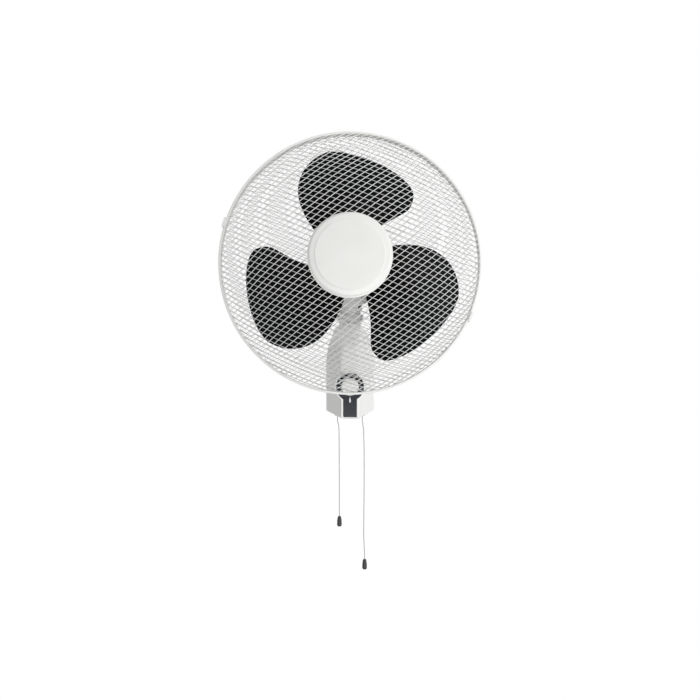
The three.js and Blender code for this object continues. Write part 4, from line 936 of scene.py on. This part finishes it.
def cover_hull(name, inset, reach, front):
    """Round cover with its belly; inset gives the hollow inside, and reach opens it at the front."""
    radius, back = COVER_R - inset, COVER_BACK - inset
    profile = [(0, front - reach), (radius, front - reach)]
    for k in range(COVER_STEPS + 1):
        t = math.pi / 2 * k / COVER_STEPS
        profile.append((radius - COVER_EDGE * (1 - math.cos(t)), back - COVER_CURVE * (1 - math.sin(t))))
    bowl = turned(name, [*profile, (0, back)], HUB, ALONG_Y, 144)
    half, ahead, behind = BELLY_HALF - inset, BELLY_FRONT - inset + reach, back - 2
    corners = [(-half, ahead, 2), (half, ahead, 2), (half, behind, 12), (-half, behind, 12)]
    belly = prism(name + "_belly", fillet(corners, steps=8), "z", NECK_TOP - 3 + inset, AXIS.z - 20)
    if not inset:
        softened(belly, 2.2, segments=4)
    return combine(bowl, [belly], "UNION")


def vent(angle):
    """Slot with round ends that runs outward from the middle of the cover's back."""
    outline = []
    for middle, start in ((VENT_NEAR + VENT_HALF, math.pi / 2), (VENT_FAR - VENT_HALF, -math.pi / 2)):
        for k in range(VENT_STEPS + 1):
            t = start + math.pi * k / VENT_STEPS
            outline.append((middle + VENT_HALF * math.cos(t), VENT_HALF * math.sin(t)))
    c, s = math.cos(angle), math.sin(angle)
    placed = [(u * c - v * s, u * s + v * c + AXIS.z) for u, v in outline]
    return prism("vent", placed, "y", COVER_BACK - 12, COVER_BACK + 5)


def make_motor_cover():
    """Motor's rear cover: a vented bowl with a belly, and the boss for its screw."""
    front = node_box("motor_rear_cover")[0].y
    cover = cover_hull("motor_cover_shell", 0, 0, front)
    inside = cover_hull("inside", COVER_WALL, 1, front)
    room = NECK_R + 2
    opening = rectangle(-room, room, front + 4, PIVOT_Y + room)
    opening = prism("opening", opening, "z", 80, NECK_TOP + 14)
    path = rectangle(-room, room, PIVOT_Y, BELLY_FRONT + 8)
    path = prism("path", path, "z", NECK_TOP - 0.6, NECK_TOP + 6)
    vents = [vent(2 * math.pi / VENT_SLOTS * (k + 0.5)) for k in range(VENT_SLOTS)]
    combine(cover, [inside, opening, path, *vents], "DIFFERENCE")
    finish_piece(cover, "white_plastic", "head", ["motor_rear_cover"], smooth_angle=32, carved=True)
    boss = rectangle(COVER_SCREW_R + GAP, COVER_BOSS_R, COVER_BOSS_FRONT, COVER_BACK - 1.5)
    lathe("motor_cover_boss", boss, HUB, ALONG_Y, "white_plastic", "head", ["motor_rear_cover"], steps=48)


def make_cover_screw():
    """Slotted screw in the middle of the cover's back."""
    low, high = node_box("cover_screw")
    front, back, radius = low.y, high.y, (high.x - low.x) / 2
    seat, shank = back - COVER_SCREW_HEAD, COVER_SCREW_R
    profile = [(0, back), (radius * 0.6, back, 1), (radius, back - 1.2, 0.8), (radius, seat, 0.2),
               (shank, seat), (shank, front, 0.5), (0, front)]
    screw = turned("cover_screw_body", fillet(profile), HUB, ALONG_Y, 48)
    slot = rectangle(-6, 6, AXIS.z - SCREW_SLOT_HALF, AXIS.z + SCREW_SLOT_HALF)
    combine(screw, [prism("slot", slot, "y", back - SCREW_SLOT_DEEP, back + 1)], "DIFFERENCE")
    finish_piece(screw, "steel", "head", ["cover_screw"], smooth_angle=35)


# ------------------------------------------------------------------ neck and tilt bolt
KNUCKLE_R = 11
COLUMN_X, COLUMN_Y = 9, 8
PIVOT_R, COLLAR_R = 6, 7.6
COLLAR_TOP = NECK_TOP + 3.1
CRANK_THROW = 8
SWING_LIMIT = math.radians(45)
LINK_ANCHOR = CRANK_THROW / math.sin(SWING_LIMIT)
LINK_PIN_R = 1.5
HEX_R, BOLT_HEAD = 6, 4
EAR_FACE = EAR_HALF + GAP


def make_neck():
    """Neck: the tilt knuckle, a column, the table the head swings on, its pin and the link's pin."""
    wide, tall = KNUCKLE_HALF, KNUCKLE_R
    barrel = [(0, -wide), (tall, -wide, 0.8), (tall, wide, 0.8), (0, wide)]
    knuckle = turned("neck_casting", fillet(barrel), (0, PIVOT_Y, TILT.z), ALONG_X)
    column = rectangle(-COLUMN_X, COLUMN_X, PIVOT_Y - COLUMN_Y, PIVOT_Y + COLUMN_Y)
    column = prism("column", fillet(column, 2.5), "z", TILT.z, NECK_TOP - 3)
    high = node_box("swivel_neck")[1].z
    profile = [
        (0, NECK_TOP - 6.5), (NECK_R - 2, NECK_TOP - 6.5, 0.8), (NECK_R, NECK_TOP - 4, 0.6),
        (NECK_R, NECK_TOP, 0.8), (COLLAR_R, NECK_TOP, 0.3), (COLLAR_R, COLLAR_TOP, 0.3),
        (PIVOT_R, COLLAR_TOP), (PIVOT_R, high, 0.8), (0, high),
    ]
    table = turned("table", fillet(profile), (0, PIVOT_Y, 0), ALONG_Z)
    pin = prism("pin", circle(LINK_ANCHOR, PIVOT_Y, LINK_PIN_R, 32), "z", NECK_TOP - 1, NECK_TOP + 2.1)
    combine(knuckle, [column, table, pin], "UNION")
    bore = prism("bore", circle(PIVOT_Y, TILT.z, TILT_BOLT_R + GAP, 48), "x", -20, 20)
    combine(knuckle, [bore], "DIFFERENCE")
    finish_piece(knuckle, "painted_casting", "neck", ["swivel_neck"], smooth_angle=35, carved=True)


def hexagon(name, start, end):
    """Six-sided head on the tilt axis, with soft edges."""
    made = prism(name, circle(PIVOT_Y, TILT.z, HEX_R, 6), "x", start, end)
    softened(made, 0.6, angle=40)
    return made


def make_tilt_bolt():
    """Bolt through the base's ears and the neck, and its nut."""
    head = hexagon("tilt_bolt_body", EAR_FACE, EAR_FACE + BOLT_HEAD)
    shank = prism("shank", circle(PIVOT_Y, TILT.z, TILT_BOLT_R, 40), "x", -EAR_FACE - 5, EAR_FACE + 1)
    combine(head, [shank], "UNION")
    finish_piece(head, "steel", "base", ["tilt_bolt"], smooth_angle=35)
    nut = hexagon("tilt_nut_body", -EAR_FACE - BOLT_HEAD, -EAR_FACE)
    bore = prism("bore", circle(PIVOT_Y, TILT.z, TILT_BOLT_R + RUNNING, 40), "x", -EAR_FACE - 6, 0)
    combine(nut, [bore], "DIFFERENCE")
    finish_piece(nut, "steel", "base", ["tilt_nut"], smooth_angle=35)


# ------------------------------------------------------------------ stage
FLOOR_HALF, FLOOR_Z = 1.1, -1.3
FLOOR_GREY, FLOOR_ROUGHNESS = 0.85, 0.9
WORLD_LIGHT = 0.35    # what the world gives the object; the camera sees it as white
LAMPS_AIM = Vector((0, -0.2, 0.1))
# Place, size and power of each square lamp.
LAMPS = {
    "key": ((2.2, -1.25, 0.25), 1.0, 21),
    "front": ((0.4, -2.5, -0.8), 1.4, 31),
    "back": ((0.4, 2.3, 1.2), 1.4, 16),
    "top": ((0.3, -0.7, 2.2), 1.4, 12),
}


def make_floor():
    mesh = bpy.data.meshes.new("floor")
    corners = [(x, y, FLOOR_Z) for x, y in rectangle(-FLOOR_HALF, FLOOR_HALF, -FLOOR_HALF, FLOOR_HALF)]
    mesh.from_pydata(corners, [], [(0, 1, 2, 3)])
    floor = bpy.data.objects.new("floor", mesh)
    bpy.context.scene.collection.objects.link(floor)
    pale = bpy.data.materials.new("floor_pale")
    pale.use_nodes = True
    shader = pale.node_tree.nodes["Principled BSDF"]
    shader.inputs["Base Color"].default_value = (FLOOR_GREY, FLOOR_GREY, FLOOR_GREY, 1)
    shader.inputs["Roughness"].default_value = FLOOR_ROUGHNESS
    mesh.materials.append(pale)


def make_world():
    """World that lights softly, and is plain white to the camera and in reflections."""
    world = bpy.data.worlds.new("studio")
    bpy.context.scene.world = world
    world.use_nodes = True
    tree = world.node_tree
    light = tree.nodes["Background"]
    light.inputs["Color"].default_value = (1, 1, 1, 1)
    light.inputs["Strength"].default_value = WORLD_LIGHT
    seen = tree.nodes.new("ShaderNodeBackground")
    seen.inputs["Color"].default_value = (1, 1, 1, 1)
    seen.inputs["Strength"].default_value = 1
    path = tree.nodes.new("ShaderNodeLightPath")
    first = tree.nodes.new("ShaderNodeMath")
    first.operation = "MAXIMUM"
    both = tree.nodes.new("ShaderNodeMath")
    both.operation = "MAXIMUM"
    mix = tree.nodes.new("ShaderNodeMixShader")
    tree.links.new(path.outputs["Is Camera Ray"], first.inputs[0])
    tree.links.new(path.outputs["Is Glossy Ray"], first.inputs[1])
    tree.links.new(first.outputs[0], both.inputs[0])
    tree.links.new(path.outputs["Is Transmission Ray"], both.inputs[1])
    tree.links.new(both.outputs[0], mix.inputs["Fac"])
    tree.links.new(light.outputs[0], mix.inputs[1])
    tree.links.new(seen.outputs[0], mix.inputs[2])
    tree.links.new(mix.outputs[0], tree.nodes["World Output"].inputs["Surface"])


def make_lamps():
    for name, (place, size, power) in LAMPS.items():
        data = bpy.data.lights.new(name, "AREA")
        data.size = size
        data.energy = power
        lamp = bpy.data.objects.new(name, data)
        lamp.location = place
        lamp.rotation_euler = (LAMPS_AIM - Vector(place)).to_track_quat("-Z", "Y").to_euler()
        bpy.context.scene.collection.objects.link(lamp)


# ------------------------------------------------------------------ the scene
bpy.context.scene.view_settings.view_transform = "Standard"
make_camera()
for name, node in nodes.items():
    node.data.materials.clear()
    node.data.materials.append(MATERIALS[SLOT_OF[name]])
    shade(node.data, CAD_SMOOTH)
make_cord("speed_cord", SPEED_ROUTE, "speed_pull", "speed_toggle")
make_cord("swing_cord", SWING_ROUTE, "swing_pull", "swing_toggle")
make_grille("front_grille", -1, FRONT_BULGE, FRONT_FULLNESS, HUB_PLATE_R, HUB_PLATE_BORE)
make_grille("rear_grille", 1, REAR_BULGE, REAR_FULLNESS, REAR_PLATE_R, REAR_PLATE_BORE)
make_badge()
make_rotor()
make_base()
make_panel()
make_dial()
for clip, clip_angle in CLIP_ANGLES.items():
    make_clip(clip, clip_angle)
for bush in ("cord_gland", "speed_cord_bush", "swing_cord_bush"):
    make_bush(bush)
make_nuts()
make_motor_cover()
make_cover_screw()
make_neck()
make_tilt_bolt()
make_floor()
make_world()
make_lamps()
